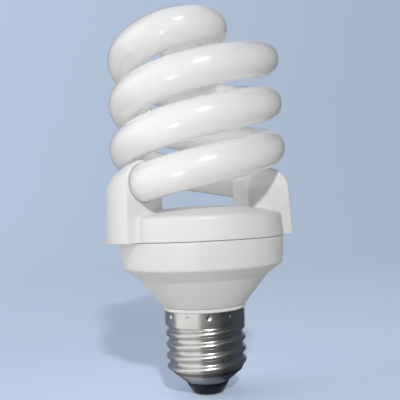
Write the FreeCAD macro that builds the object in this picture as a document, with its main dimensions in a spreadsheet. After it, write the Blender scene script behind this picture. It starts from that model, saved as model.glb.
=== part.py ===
"""Spiral energy saving bulb with an Edison screw cap.

The lamp stands on its axis, +Z up, with the origin at the middle of the centre contact's lower face.
Lengths are in millimetres. Angles are in degrees, counted from +X and anticlockwise seen from above.
"""
import FreeCAD, Part
import math
import os
import re

import Sketcher

Vec = FreeCAD.Vector
UP = Vec(0, 0, 1)

# Driving dimensions, each with the name of its cell in the sheet
SIZES = (
    # Centre contact and insulator
    ("contact_radius", 4.3),
    ("contact_thickness", 0.8),
    ("contact_reveal", 0.4),
    ("stem_radius", 1.3),
    ("stem_bore_radius", 0.6),
    ("stem_rise", 6.9),
    ("insulator_foot_radius", 5.05),
    ("insulator_foot_round", 0.8),
    ("insulator_depth", 2.0),
    ("seat_gap", 0.05),
    # Screw shell
    ("rim_height", 4.3),
    ("rim_radius", 7.3),
    ("shell_cone_rise", 0.84),
    ("shell_sheet", 0.4),
    ("crest_radius", 13.1),
    ("thread_pitch", 3.629),
    ("knuckle_radius", 1.025),
    ("root_flat", 0.63),
    ("thread_crest_height", 16.4),
    ("band_height", 4.75),
    ("band_stand", 0.05),
    ("band_flare", 0.8),
    ("punch_count", 12),
    ("punch_radius", 1.2),
    ("punch_depth", 0.26),
    ("punch_drop", 1.55),
    ("punch_first_angle", 5.5),
    # Ballast housing
    ("collar_height", 27.85),
    ("collar_reveal", 0.35),
    ("collar_band", 1.1),
    ("collar_groove_depth", 0.35),
    ("collar_groove_width", 0.3),
    ("collar_seat", 0.1),
    ("neck_length", 4.2),
    ("neck_gap", 0.1),
    ("neck_wall", 1.2),
    ("cone_step", 0.25),
    ("cone_run", 7.45),
    ("cone_rise", 9.05),
    ("brim_rise", 3.9),
    ("wall_flare", 0.75),
    ("wall_rise", 8.4),
    ("brim_round", 1.2),
    ("cone_round", 1.6),
    ("housing_wall", 1.4),
    ("seam_radius", 27.05),
    ("seam_gap", 0.15),
    ("seam_round", 0.3),
    ("ledge_depth", 4.7),
    ("ledge_width", 1.9),
    # Tube cover and its two sockets
    ("skirt_thickness", 1.2),
    ("skirt_gap", 0.15),
    ("skirt_root", 2.2),
    ("shoulder_inset", 0.55),
    ("shoulder_rise", 7.45),
    ("shoulder_round", 1.6),
    ("dome_rise", 3.25),
    ("cover_wall", 1.3),
    ("socket_wall", 1.1),
    ("socket_gap", 0.2),
    ("socket_back_angle", 5.0),
    ("socket_mouth_angle", 44.5),
    ("socket_end_wall", 1.4),
    ("socket_splay", 0.7),
    ("socket_well_width", 10.0),
    ("socket_floor", 1.5),
    # Glass tube
    ("tube_radius", 5.9),
    ("coil_radius", 23.4),
    ("coil_taper", 0.0226),
    ("coil_pitch", 29.16),
    ("coil_lift", 3.9),
    ("coil_turn_angle", 600.0),
    ("tube_end_angle", 15.0),
    # Circuit board and the wires of its parts
    ("board_thickness", 1.4),
    ("board_gap", 0.3),
    ("hold_gap", 0.15),
    ("lead_radius", 0.35),
    ("lead_tail", 1.0),
    ("hole_gap", 0.12),
    ("part_gap", 0.4),
    # Reservoir capacitor
    ("reservoir_radius", 4.0),
    ("reservoir_length", 15.0),
    ("reservoir_crimp", 0.5),
    ("reservoir_x", 5.0),
    ("reservoir_y", -4.4),
    ("reservoir_lead_pitch", 3.5),
    # Choke
    ("choke_x", -5.2),
    ("choke_y", 4.2),
    ("core_width", 13.4),
    ("core_depth", 6.2),
    ("core_height", 12.4),
    ("core_leg", 3.4),
    ("core_window", 2.9),
    ("core_yoke", 1.7),
    ("bobbin_wall", 0.6),
    ("bobbin_gap", 0.1),
    ("bobbin_flange", 12.4),
    ("winding_build", 1.6),
    ("bobbin_pin_pitch", 10.6),
    # Toroid transformer
    ("toroid_x", 6.5),
    ("toroid_y", 13.5),
    ("toroid_radius", 4.8),
    ("toroid_bore_radius", 2.6),
    ("toroid_height", 3.2),
    ("toroid_wire", 0.5),
    ("toroid_winding_angle", 60.0),
    # Transistors
    ("transistor_width", 6.6),
    ("transistor_thickness", 2.3),
    ("transistor_height", 7.0),
    ("transistor_stand", 2.5),
    ("transistor_lead_pitch", 2.3),
    ("transistor_1_x", -10.5),
    ("transistor_1_y", -8.5),
    ("transistor_2_x", -4.6),
    ("transistor_2_y", -13.2),
    # Film capacitors: length along X, thickness along Y
    ("film_round", 0.6),
    ("resonant_length", 5.0),
    ("resonant_thickness", 10.0),
    ("resonant_height", 9.0),
    ("resonant_x", 12.6),
    ("resonant_y", 1.5),
    ("blocking_length", 8.0),
    ("blocking_thickness", 4.0),
    ("blocking_height", 6.5),
    ("filter_length", 3.5),
    ("filter_thickness", 6.0),
    ("filter_height", 6.5),
    ("filter_y", -2.5),
    # Axial parts, which stand in a ring near the edge of the board
    ("axial_inset", 4.25),
    ("diode_radius", 1.3),
    ("diode_length", 4.6),
    ("diode_span", 6.6),
    ("diode_first_angle", -60.0),
    ("resistor_radius", 1.1),
    ("resistor_length", 4.8),
    ("resistor_span", 6.6),
    ("resistor_first_angle", 108.0),
    ("axial_step", 20.0),
    ("trigger_radius", 0.9),
    ("trigger_length", 3.6),
    ("trigger_span", 5.6),
    ("trigger_angle", 240.0),
    ("fuse_radius", 1.7),
    ("fuse_length", 9.0),
    ("fuse_drop", 16.6),
    ("fuse_x", -3.0),
    ("fuse_y", -3.2),
    ("fuse_tail", 2.0),
    # Wire posts and loose wires
    ("pin_side", 0.8),
    ("pin_length", 8.0),
    ("pin_inset", 4.0),
    ("pin_spread", 7.0),
    ("wire_radius", 0.35),
    ("wire_bend", 2.0),
    ("filament_radius", 0.25),
    ("filament_pitch", 3.2),
    ("shell_lead_angle", 88.0),
    ("cement_height", 6.0),
    ("cement_angle", 12.0),
)
DIODES = 4
RESISTORS = 5
FILAMENT_SIDES = {"right": 0.0, "left": 180.0}

# Share of a wall that a 45 degree corner moves in each direction
CORNER = 0.71

# Widest angle between two points that a path of arcs passes through
ARC_STEP = 42.5

# Angle between the points of a smooth curve
CURVE_STEP = 7.5

doc = FreeCAD.newDocument("spiral_bulb")
sheet = doc.addObject("Spreadsheet::Sheet", "sizes")
for row, (alias, value) in enumerate(SIZES, 1):
    sheet.set(f"A{row}", alias.replace("_", " "))
    sheet.set(f"B{row}", str(value))
    sheet.setAlias(f"B{row}", alias)
doc.recompute()

ALIASES = re.compile(r"\b(" + "|".join(alias for alias, _ in SIZES) + r")\b")
nodes = []
drilled = []

# Heights and radii that several pieces share, each counted from the one before
CONE_FOOT = "(collar_height + collar_band + collar_groove_width)"
CONE_TOP = f"({CONE_FOOT} + cone_rise)"
BRIM = f"({CONE_TOP} + brim_rise)"
SEAM = f"({BRIM} + wall_rise)"
LEDGE = f"({SEAM} - ledge_depth)"
BOARD_TOP = f"({LEDGE} + board_thickness)"
PART_TOP = f"({LEDGE} - board_gap)"
LIP = f"({SEAM} + seam_gap)"
SHOULDER = f"({LIP} + shoulder_rise)"
DOME = f"({SHOULDER} + dome_rise)"
COIL_FOOT = f"({DOME} + coil_lift)"
SHELL_TOP = "(collar_height - collar_seat)"
BAND_RADIUS = "(crest_radius + band_stand)"
NECK_RADIUS = f"({BAND_RADIUS} - shell_sheet - neck_gap)"
NECK_BORE = f"({NECK_RADIUS} - neck_wall)"
COLLAR_RADIUS = f"({BAND_RADIUS} + collar_reveal)"
BRIM_RADIUS = "(seam_radius - wall_flare)"
CONE_TOP_RADIUS = f"({COLLAR_RADIUS} + cone_step + cone_run)"
SHOULDER_RADIUS = "(seam_radius - shoulder_inset)"
HOUSING_BORE = "(seam_radius - housing_wall - seam_round)"
LEDGE_BORE = f"({HOUSING_BORE} - ledge_width)"
SKIRT_FOOT = f"({BOARD_TOP} + hold_gap)"
SKIRT_RADIUS = f"({HOUSING_BORE} - skirt_gap)"
SKIRT_BORE = f"({SKIRT_RADIUS} - skirt_thickness)"
COVER_BORE = f"({SHOULDER_RADIUS} - cover_wall)"
CAP_BORE_AT_RIM = "(rim_radius - shell_sheet * sqrt(1 + shell_cone_rise ^ 2) / shell_cone_rise)"
AXIAL_RING = f"({LEDGE_BORE} - axial_inset)"
PIN_RING = "(coil_radius - pin_inset)"


def size(alias):
    """Value of one cell."""
    return float(sheet.get(alias))


def link(text):
    """Expression text with every cell's name tied to the sheet."""
    return ALIASES.sub(r"sizes.\1", text)


def worth(text):
    """Value of an expression of cells."""
    return float(sheet.evalExpression(link(text)))


def keep(node, thing):
    """Gives a finished sub-part its name."""
    thing.Label = node
    nodes.append((node, thing))
    return thing


def primitive(kind, name, sizes, at=("0", "0", "0"), rotation=None):
    """Part primitive with its sizes and place tied to the sheet."""
    thing = doc.addObject(f"Part::{kind}", name)
    if rotation:
        thing.Placement = FreeCAD.Placement(Vec(), rotation)
    for prop, text in sizes.items():
        thing.setExpression(prop, link(text))
    for axis, text in zip("xyz", at):
        thing.setExpression(f"Placement.Base.{axis}", link(text))
    return thing


def block(name, spans):
    """Box between two expressions along each axis."""
    sizes = {prop: f"({high}) - ({low})" for prop, (low, high) in zip(("Length", "Width", "Height"), spans)}
    return primitive("Box", name, sizes, [low for low, _ in spans])


def rod(name, radius, low, high, x="0", y="0"):
    """Upright cylinder between two heights."""
    return primitive("Cylinder", name, {"Radius": radius, "Height": f"({high}) - ({low})"}, (x, y, low))


def fuse(name, things):
    """Union of several objects."""
    union = doc.addObject("Part::MultiFuse", name)
    union.Shapes = things
    return union


def cut(name, base, tool):
    """One object less another."""
    difference = doc.addObject("Part::Cut", name)
    difference.Base = base
    difference.Tool = tool
    return difference


def shaped(name, shape):
    """Object that holds a shape made with Part's own functions."""
    thing = doc.addObject("Part::Feature", name)
    thing.Shape = shape
    return thing


def ring_edge(shape, radius, height):
    """Name of the circular edge about the axis with this radius and height."""
    for number, edge in enumerate(shape.Edges, 1):
        curve = edge.Curve
        if not isinstance(curve, Part.Circle):
            continue
        if math.hypot(curve.Radius - radius, curve.Center.z - height) < 1e-4:
            return f"Edge{number}"
    raise ValueError(f"no edge at radius {radius} and height {height}")


def turned(name, outline, domes=(), rounds=()):
    """Body turned about the axis.

    The outline is a closed list of radius and height. A segment in domes is an arc centred on the axis.
    Each entry of rounds gives the corners that one fillet rounds, and its radius.
    """
    body = doc.addObject("PartDesign::Body", name)
    sketch = body.newObject("Sketcher::SketchObject", f"{name}_outline")
    plane = next(item for item in body.Origin.OriginFeatures if item.Role == "XZ_Plane")
    sketch.AttachmentSupport = [(plane, "")]
    sketch.MapMode = "FlatFace"
    spots = [Vec(worth(radius), worth(height), 0) for radius, height in outline]
    ends = []
    for number, first in enumerate(spots):
        last = spots[(number + 1) % len(spots)]
        if number not in domes:
            sketch.addGeometry(Part.LineSegment(first, last), False)
            ends.append((1, 2))
            continue
        middle = (last.dot(last) - first.dot(first)) / (2 * (last.y - first.y))
        circle = Part.Circle(Vec(0, middle, 0), UP, math.hypot(first.x, first.y - middle))
        angles = [math.atan2(spot.y - middle, spot.x) for spot in (first, last)]
        sketch.addGeometry(Part.ArcOfCircle(circle, min(angles), max(angles)), False)
        sketch.addConstraint(Sketcher.Constraint("PointOnObject", number, 3, -2))
        ends.append((1, 2) if angles[0] < angles[1] else (2, 1))
    for number, (radius, height) in enumerate(outline):
        before = (number - 1) % len(spots)
        start = ends[number][0]
        sketch.addConstraint(Sketcher.Constraint("Coincident", before, ends[before][1], number, start))
        for kind, text, axis in (("DistanceX", radius, -2), ("DistanceY", height, -1)):
            if text == "0":
                sketch.addConstraint(Sketcher.Constraint("PointOnObject", number, start, axis))
                continue
            rule = sketch.addConstraint(Sketcher.Constraint(kind, -1, 1, number, start, worth(text)))
            sketch.renameConstraint(rule, f"{kind}_{number}")
            sketch.setExpression(f"Constraints.{kind}_{number}", link(text))
    turn = body.newObject("PartDesign::Revolution", f"{name}_turn")
    turn.Profile = sketch
    turn.ReferenceAxis = (sketch, ["V_Axis"])
    turn.Angle = 360
    doc.recompute()
    feature = turn
    for corners, radius in rounds:
        fillet = body.newObject("PartDesign::Fillet", f"{name}_{radius}")
        edges = [ring_edge(feature.Shape, spots[corner].x, spots[corner].y) for corner in corners]
        fillet.Base = (feature, edges)
        fillet.setExpression("Radius", link(radius))
        doc.recompute()
        feature = fillet
    return body


def polar(radius, angle, height=0.0):
    """Point at a radius, an angle in degrees and a height."""
    turn = math.radians(angle)
    return Vec(radius * math.cos(turn), radius * math.sin(turn), height)


def half_turn(shape):
    """Copy of a shape turned half way round the axis."""
    copy = shape.copy()
    copy.rotate(Vec(), UP, 180)
    return copy


def ring_wire(middle, normal, radius):
    """Circular wire."""
    return Part.Wire([Part.Circle(middle, normal, radius).toShape()])


def corner_arc(start, corner, end):
    """Arc tangent to both legs of a corner, which are of one length."""
    arrive, leave = (corner - start).normalize(), (end - corner).normalize()
    half = arrive.getAngle(leave) / 2
    bend = (corner - start).Length / math.tan(half)
    inward = (leave - arrive).normalize()
    middle = corner + inward * (bend / math.cos(half) - bend)
    return Part.Arc(start, middle, end).toShape()


def arc_path(spots):
    """Wire through points with headings, made of two tangent arcs between each pair of points."""
    edges = []
    for (first, out), (last, back) in zip(spots, spots[1:]):
        span, both = last - first, out + back
        square = 4 - both.dot(both)
        along = span.dot(both)
        arm = (math.sqrt(along * along + square * span.dot(span)) - along) / square
        knees = first + out * arm, last - back * arm
        middle = (knees[0] + knees[1]) / 2
        edges += [corner_arc(first, knees[0], middle), corner_arc(middle, knees[1], last)]
    return Part.Wire(edges)


def wire_path(points, bend):
    """Wire of straight runs joined by tangent arcs of one radius."""
    edges = []
    start = points[0]
    for before, corner, after in zip(points, points[1:], points[2:]):
        arrive = (corner - before).normalize()
        leave = (after - corner).normalize()
        reach = bend * math.tan(arrive.getAngle(leave) / 2)
        enter, depart = corner - arrive * reach, corner + leave * reach
        edges.append(Part.LineSegment(start, enter).toShape())
        edges.append(corner_arc(enter, corner, depart))
        start = depart
    edges.append(Part.LineSegment(start, points[-1]).toShape())
    return Part.Wire(edges)


def bar(path, radius):
    """Round bar along a wire."""
    first = path.Edges[0]
    ring = ring_wire(first.valueAt(first.FirstParameter), first.tangentAt(first.FirstParameter), radius)
    return path.makePipeShell([ring], True, False)


def coil_point(angle):
    """Point of the tube's centreline on the arm that starts in the right socket."""
    rise = size("coil_pitch") * angle / 360
    return polar(size("coil_radius") - size("coil_taper") * rise, angle, worth(COIL_FOOT) + rise)


def coil_spot(angle):
    """Point of the centreline and its heading there."""
    point = coil_point(angle)
    climb = size("coil_pitch") / (2 * math.pi)
    onward = polar(math.hypot(point.x, point.y), angle + 90, climb)
    heading = onward - polar(size("coil_taper") * climb, angle)
    return point, heading.normalize()


def spread(start, stop, step):
    """Even angles between two ends, no further apart than a step."""
    count = math.ceil((stop - start) / step)
    return [start + (stop - start) * number / count for number in range(count + 1)]


def coil_arm(start, stop):
    """Points and headings of the centreline between two angles."""
    return [coil_spot(angle) for angle in spread(start, stop, ARC_STEP)]


def bend_spots():
    """Points and headings of the half circle from the coil to the axis, with a slope that dies out there."""
    leave = size("coil_turn_angle")
    join = coil_point(leave)
    radius = math.hypot(join.x, join.y) / 2
    slope = size("coil_pitch") / (4 * math.pi * radius)
    spots = []
    for turn in spread(0, 180, ARC_STEP)[1:]:
        share = turn / 180
        spot = polar(radius, leave + turn, join.z + slope * math.pi * radius * (share - share * share / 2))
        heading = polar(1, leave + turn + 90, slope * (1 - share))
        spots.append((spot + Vec(join.x / 2, join.y / 2, 0), heading.normalize()))
    return spots


def tube_path():
    """Centreline of the glass tube, from its right end over the top to its left end."""
    arm = coil_arm(size("tube_end_angle"), size("coil_turn_angle")) + bend_spots()
    back = [(Vec(-spot.x, -spot.y, spot.z), Vec(way.x, way.y, -way.z)) for spot, way in reversed(arm[:-1])]
    return arc_path(arm + back)


def cap():
    """Centre contact, insulator and screw shell."""
    disc_top = "contact_thickness"
    stem_top = "stem_rise"
    contact = turned("contact_form", [
        ("stem_bore_radius", disc_top), ("0", disc_top), ("0", "0"), ("contact_radius", "0"),
        ("contact_radius", disc_top), ("stem_radius", disc_top), ("stem_radius", stem_top),
        ("stem_bore_radius", stem_top),
    ])
    keep("centre_contact", contact)
    inner = f"{CAP_BORE_AT_RIM} - seat_gap / shell_cone_rise - seat_gap"
    top = "rim_height + insulator_depth"
    insulator = turned("insulator_form", [
        ("stem_radius + seat_gap", "contact_thickness + seat_gap"),
        ("contact_radius + seat_gap", "contact_thickness + seat_gap"),
        ("contact_radius + seat_gap", "contact_reveal"),
        ("insulator_foot_radius", "contact_reveal"),
        ("rim_radius", "rim_height - seat_gap"),
        (inner, "rim_height - seat_gap"),
        (f"{inner} + insulator_depth / shell_cone_rise", top),
        ("stem_radius + seat_gap", top),
    ], rounds=[((3,), "insulator_foot_round")])
    keep("cap_insulator", insulator)
    keep("screw_shell", cut("screw_shell_form", shaped("shell_sheet_form", threaded_sheet()), punches()))


def thread_form(inset):
    """Solid bounded by the threaded wall, moved inwards from the outer face by an inset."""
    pitch, knuckle = size("thread_pitch"), size("knuckle_radius")
    crest = size("crest_radius") - inset
    crest_middle = crest - knuckle
    root_middle = crest_middle + math.sqrt((2 * knuckle) ** 2 - (pitch / 2) ** 2)
    flat = size("root_flat") / 2
    core = root_middle - math.sqrt(knuckle ** 2 - flat ** 2)
    low = worth("rim_height")
    top = worth(SHELL_TOP)
    start = size("thread_crest_height") - pitch * math.ceil((size("thread_crest_height") - low) / pitch)
    foot = pitch / 2 - flat
    buried = core - 2 * flat
    tangent = (crest_middle + root_middle) / 2
    lean = (math.asin(flat / knuckle) + math.acos((root_middle - crest_middle) / (2 * knuckle))) / 2
    root_turn = Vec(root_middle - knuckle * math.cos(lean), 0, pitch / 2 - knuckle * math.sin(lean))

    def place(radius, height):
        return Vec(-radius, 0, start + height)

    corners = [place(buried, -foot), place(core, -foot), place(tangent, -pitch / 4),
               place(tangent, pitch / 4), place(core, foot), place(buried, foot)]
    profile = Part.Wire([
        Part.LineSegment(corners[0], corners[1]).toShape(),
        Part.Arc(corners[1], place(root_turn.x, -root_turn.z), corners[2]).toShape(),
        Part.Arc(corners[2], place(crest, 0), corners[3]).toShape(),
        Part.Arc(corners[3], place(root_turn.x, root_turn.z), corners[4]).toShape(),
        Part.LineSegment(corners[4], corners[5]).toShape(),
        Part.LineSegment(corners[5], corners[0]).toShape(),
    ])
    band_foot = top - size("band_height")
    helix = Part.makeLongHelix(pitch, band_foot + foot - start, core)
    helix.rotate(Vec(), UP, 180)
    helix.translate(Vec(0, 0, start))
    ridge = helix.makePipeShell([profile], True, True)
    band = worth(BAND_RADIUS) - inset
    flare = size("band_flare")
    form = Part.makeCylinder(core, top - start, Vec(0, 0, start))
    form = form.fuse(ridge)
    form = form.fuse(Part.makeCone(core, band, flare, Vec(0, 0, band_foot - flare)))
    form = form.fuse(Part.makeCylinder(band, top - band_foot + inset, Vec(0, 0, band_foot)))
    rise = size("shell_cone_rise")
    rim = size("rim_radius") - inset * math.sqrt(1 + rise * rise) / rise
    reach = band + pitch
    below = low - inset
    hull = Part.makeCone(rim - inset / rise, reach, (reach - rim + inset / rise) * rise, Vec(0, 0, below))
    hull = hull.fuse(Part.makeCylinder(reach, top, Vec(0, 0, below + (reach - rim + inset / rise) * rise)))
    return form.common(hull).removeSplitter()


def threaded_sheet():
    """Thin threaded wall of the cap, open at both ends."""
    return thread_form(0.0).cut(thread_form(size("shell_sheet")))


def punches():
    """Ring of dents that hold the shell to the neck."""
    count = int(size("punch_count"))
    reach = f"({BAND_RADIUS} + punch_radius - punch_depth)"
    height = "collar_height - punch_drop"
    dents = []
    for number in range(count):
        angle = f"(360 * {number} / punch_count + punch_first_angle)"
        place = (f"{reach} * cos{angle}", f"{reach} * sin{angle}", height)
        dents.append(primitive("Sphere", f"punch_{number + 1}", {"Radius": "punch_radius"}, place))
    return fuse("punches", dents)


def housing():
    """Lower half of the casing, from the neck in the cap to the seam."""
    groove = "collar_height + collar_band"
    corner = f"housing_wall * {CORNER}"
    body = turned("housing_form", [
        (NECK_BORE, "collar_height - neck_length"),
        (NECK_RADIUS, "collar_height - neck_length"),
        (NECK_RADIUS, "collar_height"),
        (COLLAR_RADIUS, "collar_height"),
        (COLLAR_RADIUS, groove),
        (f"{COLLAR_RADIUS} - collar_groove_depth", groove),
        (f"{COLLAR_RADIUS} - collar_groove_depth", CONE_FOOT),
        (f"{COLLAR_RADIUS} + cone_step", CONE_FOOT),
        (CONE_TOP_RADIUS, CONE_TOP),
        (BRIM_RADIUS, BRIM),
        ("seam_radius", SEAM),
        (HOUSING_BORE, SEAM),
        (HOUSING_BORE, LEDGE),
        (LEDGE_BORE, LEDGE),
        (LEDGE_BORE, f"{BRIM} - {corner} / 2"),
        (f"{CONE_TOP_RADIUS} - {corner}", f"{CONE_TOP} + {corner}"),
        (NECK_BORE, f"collar_height + {corner}"),
    ], rounds=[((9,), "brim_round"), ((8,), "cone_round"), ((10,), "seam_round")])
    keep("ballast_housing", body)


def socket_profile():
    """Upright section of a socket at its back end, from below the seam to its round top."""
    middle = coil_point(size("socket_back_angle"))
    out = polar(1, size("socket_back_angle"))
    half = worth("tube_radius + socket_gap + socket_wall")
    depth = middle.z - worth(SEAM) + size("coil_pitch") / 4
    low_in = middle - out * half - UP * depth
    low_out = middle + out * (half + size("socket_splay")) - UP * depth
    return Part.Wire([
        Part.LineSegment(low_in, middle - out * half).toShape(),
        Part.Arc(middle - out * half, middle + UP * half, middle + out * half).toShape(),
        Part.LineSegment(middle + out * half, low_out).toShape(),
        Part.LineSegment(low_out, low_in).toShape(),
    ])


def socket_forms():
    """Outer form of the right socket, the tube's bore in it and the well below the tube's end."""
    back, mouth = size("socket_back_angle"), size("socket_mouth_angle")
    wall = math.degrees(size("socket_end_wall") / size("coil_radius"))
    reach = size("coil_radius") * 2
    curve = Part.BSplineCurve()
    curve.interpolate([coil_point(angle) for angle in spread(back, mouth, CURVE_STEP)])
    pipe = Part.BRepOffsetAPI.MakePipeShell(Part.Wire([curve.toShape()]))
    pipe.setBiNormalMode(UP)
    pipe.add(socket_profile())
    pipe.build()
    pipe.makeSolid()
    above = Part.makeBox(2 * reach, 2 * reach, size("coil_pitch") * 2, Vec(-reach, -reach, worth(LIP)))
    hood = pipe.shape().common(above)
    bore = bar(arc_path(coil_arm(back + wall, mouth + wall)), worth("tube_radius + socket_gap"))
    floor = worth(f"{LIP} + socket_floor")
    rise = coil_point(back + wall).z - floor
    well = Part.makeCylinder(worth("coil_radius + socket_well_width / 2"), rise, Vec(0, 0, floor), UP,
                             mouth - back - 2 * wall)
    well = well.cut(Part.makeCylinder(worth("coil_radius - socket_well_width / 2"), rise, Vec(0, 0, floor)))
    well.rotate(Vec(), UP, back + wall)
    return hood, bore, well


def cover():
    """Upper half of the casing with the two sockets."""
    form = turned("cover_form", [
        ("0", SKIRT_FOOT),
        (SKIRT_RADIUS, SKIRT_FOOT),
        (SKIRT_RADIUS, LIP),
        ("seam_radius", LIP),
        (SHOULDER_RADIUS, SHOULDER),
        ("0", DOME),
    ], domes=(4,), rounds=[((4,), "shoulder_round"), ((3,), "seam_round")])
    inside = turned("cover_inside", [
        ("0", f"{SKIRT_FOOT} - cover_wall"),
        (SKIRT_BORE, f"{SKIRT_FOOT} - cover_wall"),
        (SKIRT_BORE, f"{LIP} + skirt_root"),
        (COVER_BORE, f"{LIP} + skirt_root + skirt_thickness"),
        (COVER_BORE, f"{SHOULDER} - cover_wall"),
        ("0", f"{DOME} - cover_wall"),
    ], domes=(4,))
    hood, bore, well = socket_forms()
    outer = [form]
    inner = [inside]
    for side, turn in (("right", lambda shape: shape), ("left", half_turn)):
        outer.append(shaped(f"hood_{side}", turn(hood)))
        inner.append(shaped(f"bore_{side}", turn(bore)))
        inner.append(shaped(f"well_{side}", turn(well)))
    keep("tube_cover", cut("cover_hollow", fuse("cover_outer", outer), fuse("cover_voids", inner)))


def glass():
    """Opal glass tube, and the cement that beds its ends in the sockets."""
    keep("spiral_tube", shaped("tube_form", bar(tube_path(), size("tube_radius"))))
    wall = math.degrees(size("socket_end_wall") / size("coil_radius"))
    last = size("socket_mouth_angle") - wall - math.degrees(size("seat_gap") / size("coil_radius"))
    first = last - size("cement_angle")
    half = worth("socket_well_width / 2 - seat_gap")
    top = coil_point(first).z - size("tube_radius") / 2
    low = top - size("cement_height")
    radius = size("coil_radius")
    bed = Part.makeCylinder(radius + half, top - low, Vec(0, 0, low), UP, last - first)
    bed = bed.cut(Part.makeCylinder(radius - half, top - low, Vec(0, 0, low)))
    bed.rotate(Vec(), UP, first)
    bed = bed.cut(bar(arc_path(coil_arm(first - wall, last + wall)), worth("tube_radius + seat_gap")))
    keep("socket_cement_right", shaped("cement_right", bed))
    keep("socket_cement_left", shaped("cement_left", half_turn(bed)))


def leads(name, body, spots, low):
    """Joins a part's body to upright wires that pass through the board."""
    wires = []
    for number, (x, y) in enumerate(spots, 1):
        wires.append(rod(f"{name}_lead_{number}", "lead_radius", low, f"{BOARD_TOP} + lead_tail", x, y))
        drilled.append((Vec(worth(x), worth(y), 0), worth("lead_radius + hole_gap")))
    return keep(name, fuse(f"{name}_with_leads", [body] + wires))


def capacitors():
    """Reservoir capacitor and the three film capacitors."""
    top = f"{PART_TOP} - part_gap"
    low = f"{top} - reservoir_length"
    can = rod("reservoir_can", "reservoir_radius", low, top, "reservoir_x", "reservoir_y")
    crimp = primitive("Torus", "reservoir_crimp_ring", {"Radius1": "reservoir_radius + reservoir_crimp / 2",
                                                        "Radius2": "reservoir_crimp"},
                      ("reservoir_x", "reservoir_y", f"{top} - 4 * reservoir_crimp"))
    body = cut("reservoir_body", can, crimp)
    side = "reservoir_lead_pitch / 2"
    feet = [(f"reservoir_x {sign} {side}", "reservoir_y") for sign in "-+"]
    leads("reservoir_capacitor", body, feet, f"{top} - part_gap")
    film_capacitor("resonant", "resonant_x", "resonant_y")
    film_capacitor("blocking", "transistor_2_x + transistor_width / 2 + part_gap + blocking_length / 2",
                   "reservoir_y - reservoir_radius - part_gap - blocking_thickness / 2")
    film_capacitor("filter", "choke_x - core_leg / 2 - core_window - part_gap - filter_length / 2",
                   "filter_y")


def film_capacitor(kind, x, y):
    """Box shaped film capacitor with rounded edges, centred on x and y."""
    long_x = size(f"{kind}_length") > size(f"{kind}_thickness")
    box = block(f"{kind}_box", [
        (f"{x} - {kind}_length / 2", f"{x} + {kind}_length / 2"),
        (f"{y} - {kind}_thickness / 2", f"{y} + {kind}_thickness / 2"),
        (f"{PART_TOP} - {kind}_height", PART_TOP),
    ])
    doc.recompute()
    rounded = doc.addObject("Part::Fillet", f"{kind}_rounded")
    rounded.Base = box
    radius = size("film_round")
    rounded.Edges = [(number, radius, radius) for number in range(1, len(box.Shape.Edges) + 1)]
    side = f"{kind}_length / 2 - 2 * film_round" if long_x else f"{kind}_thickness / 2 - 2 * film_round"
    if long_x:
        spots = [(f"{x} - ({side})", y), (f"{x} + {side}", y)]
    else:
        spots = [(x, f"{y} - ({side})"), (x, f"{y} + {side}")]
    leads(f"{kind}_capacitor", rounded, spots, f"{PART_TOP} - film_round")


def choke():
    """Ferrite core, bobbin and copper winding of the choke."""
    top = f"{PART_TOP} - part_gap"
    low = f"({top} - core_height)"
    x, y = "choke_x", "choke_y"
    depth = ("core_depth / 2", "core_depth / 2 + part_gap")
    core = block("core_block", [(f"{x} - core_width / 2", f"{x} + core_width / 2"),
                                (f"{y} - {depth[0]}", f"{y} + {depth[0]}"), (low, top)])
    window_low, window_top = f"{low} + core_yoke", f"{top} - core_yoke"
    windows = []
    for side, start in (("left", f"{x} - core_leg / 2 - core_window"), ("right", f"{x} + core_leg / 2")):
        windows.append(block(f"core_window_{side}", [(start, f"{start} + core_window"),
                                                     (f"{y} - ({depth[1]})", f"{y} + {depth[1]}"),
                                                     (window_low, window_top)]))
    keep("choke_core", cut("core_form", core, fuse("core_windows", windows)))

    def box_round_leg(name, grow, low_z, high_z):
        half_x = f"(core_leg / 2 + {grow})"
        half_y = f"(core_depth / 2 + {grow})"
        return block(name, [(f"{x} - {half_x}", f"{x} + {half_x}"), (f"{y} - {half_y}", f"{y} + {half_y}"),
                            (low_z, high_z)])

    foot, head = f"{window_low} + bobbin_gap", f"{window_top} - bobbin_gap"
    sleeve = box_round_leg("bobbin_sleeve", "bobbin_gap + bobbin_wall", foot, head)
    hole = box_round_leg("bobbin_hole", "bobbin_gap", f"{foot} - part_gap", f"{head} + part_gap")
    half_x = "(core_leg / 2 + core_window - bobbin_gap)"
    flanges = []
    for end, start in (("low", foot), ("high", f"{head} - bobbin_wall")):
        flanges.append(block(f"bobbin_flange_{end}", [
            (f"{x} - {half_x}", f"{x} + {half_x}"), (f"{y} - bobbin_flange / 2", f"{y} + bobbin_flange / 2"),
            (start, f"{start} + bobbin_wall")]))
    bobbin = cut("bobbin_body", fuse("bobbin_parts", [sleeve] + flanges), hole)
    spots = [(f"{x} {sx} core_leg / 2", f"{y} {sy} bobbin_pin_pitch / 2") for sx in "+-" for sy in "+-"]
    leads("choke_bobbin", bobbin, spots, f"{head} - bobbin_wall / 2")
    build = "bobbin_gap + bobbin_wall + winding_build"
    gap = "bobbin_gap"
    copper_low, copper_top = f"{foot} + bobbin_wall + {gap}", f"{head} - bobbin_wall - {gap}"
    copper = box_round_leg("winding_block", build, copper_low, copper_top)
    clear = box_round_leg("winding_hole", f"2 * {gap} + bobbin_wall", f"{copper_low} - part_gap",
                          f"{copper_top} + part_gap")
    keep("choke_winding", cut("winding_form", copper, clear))


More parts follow.
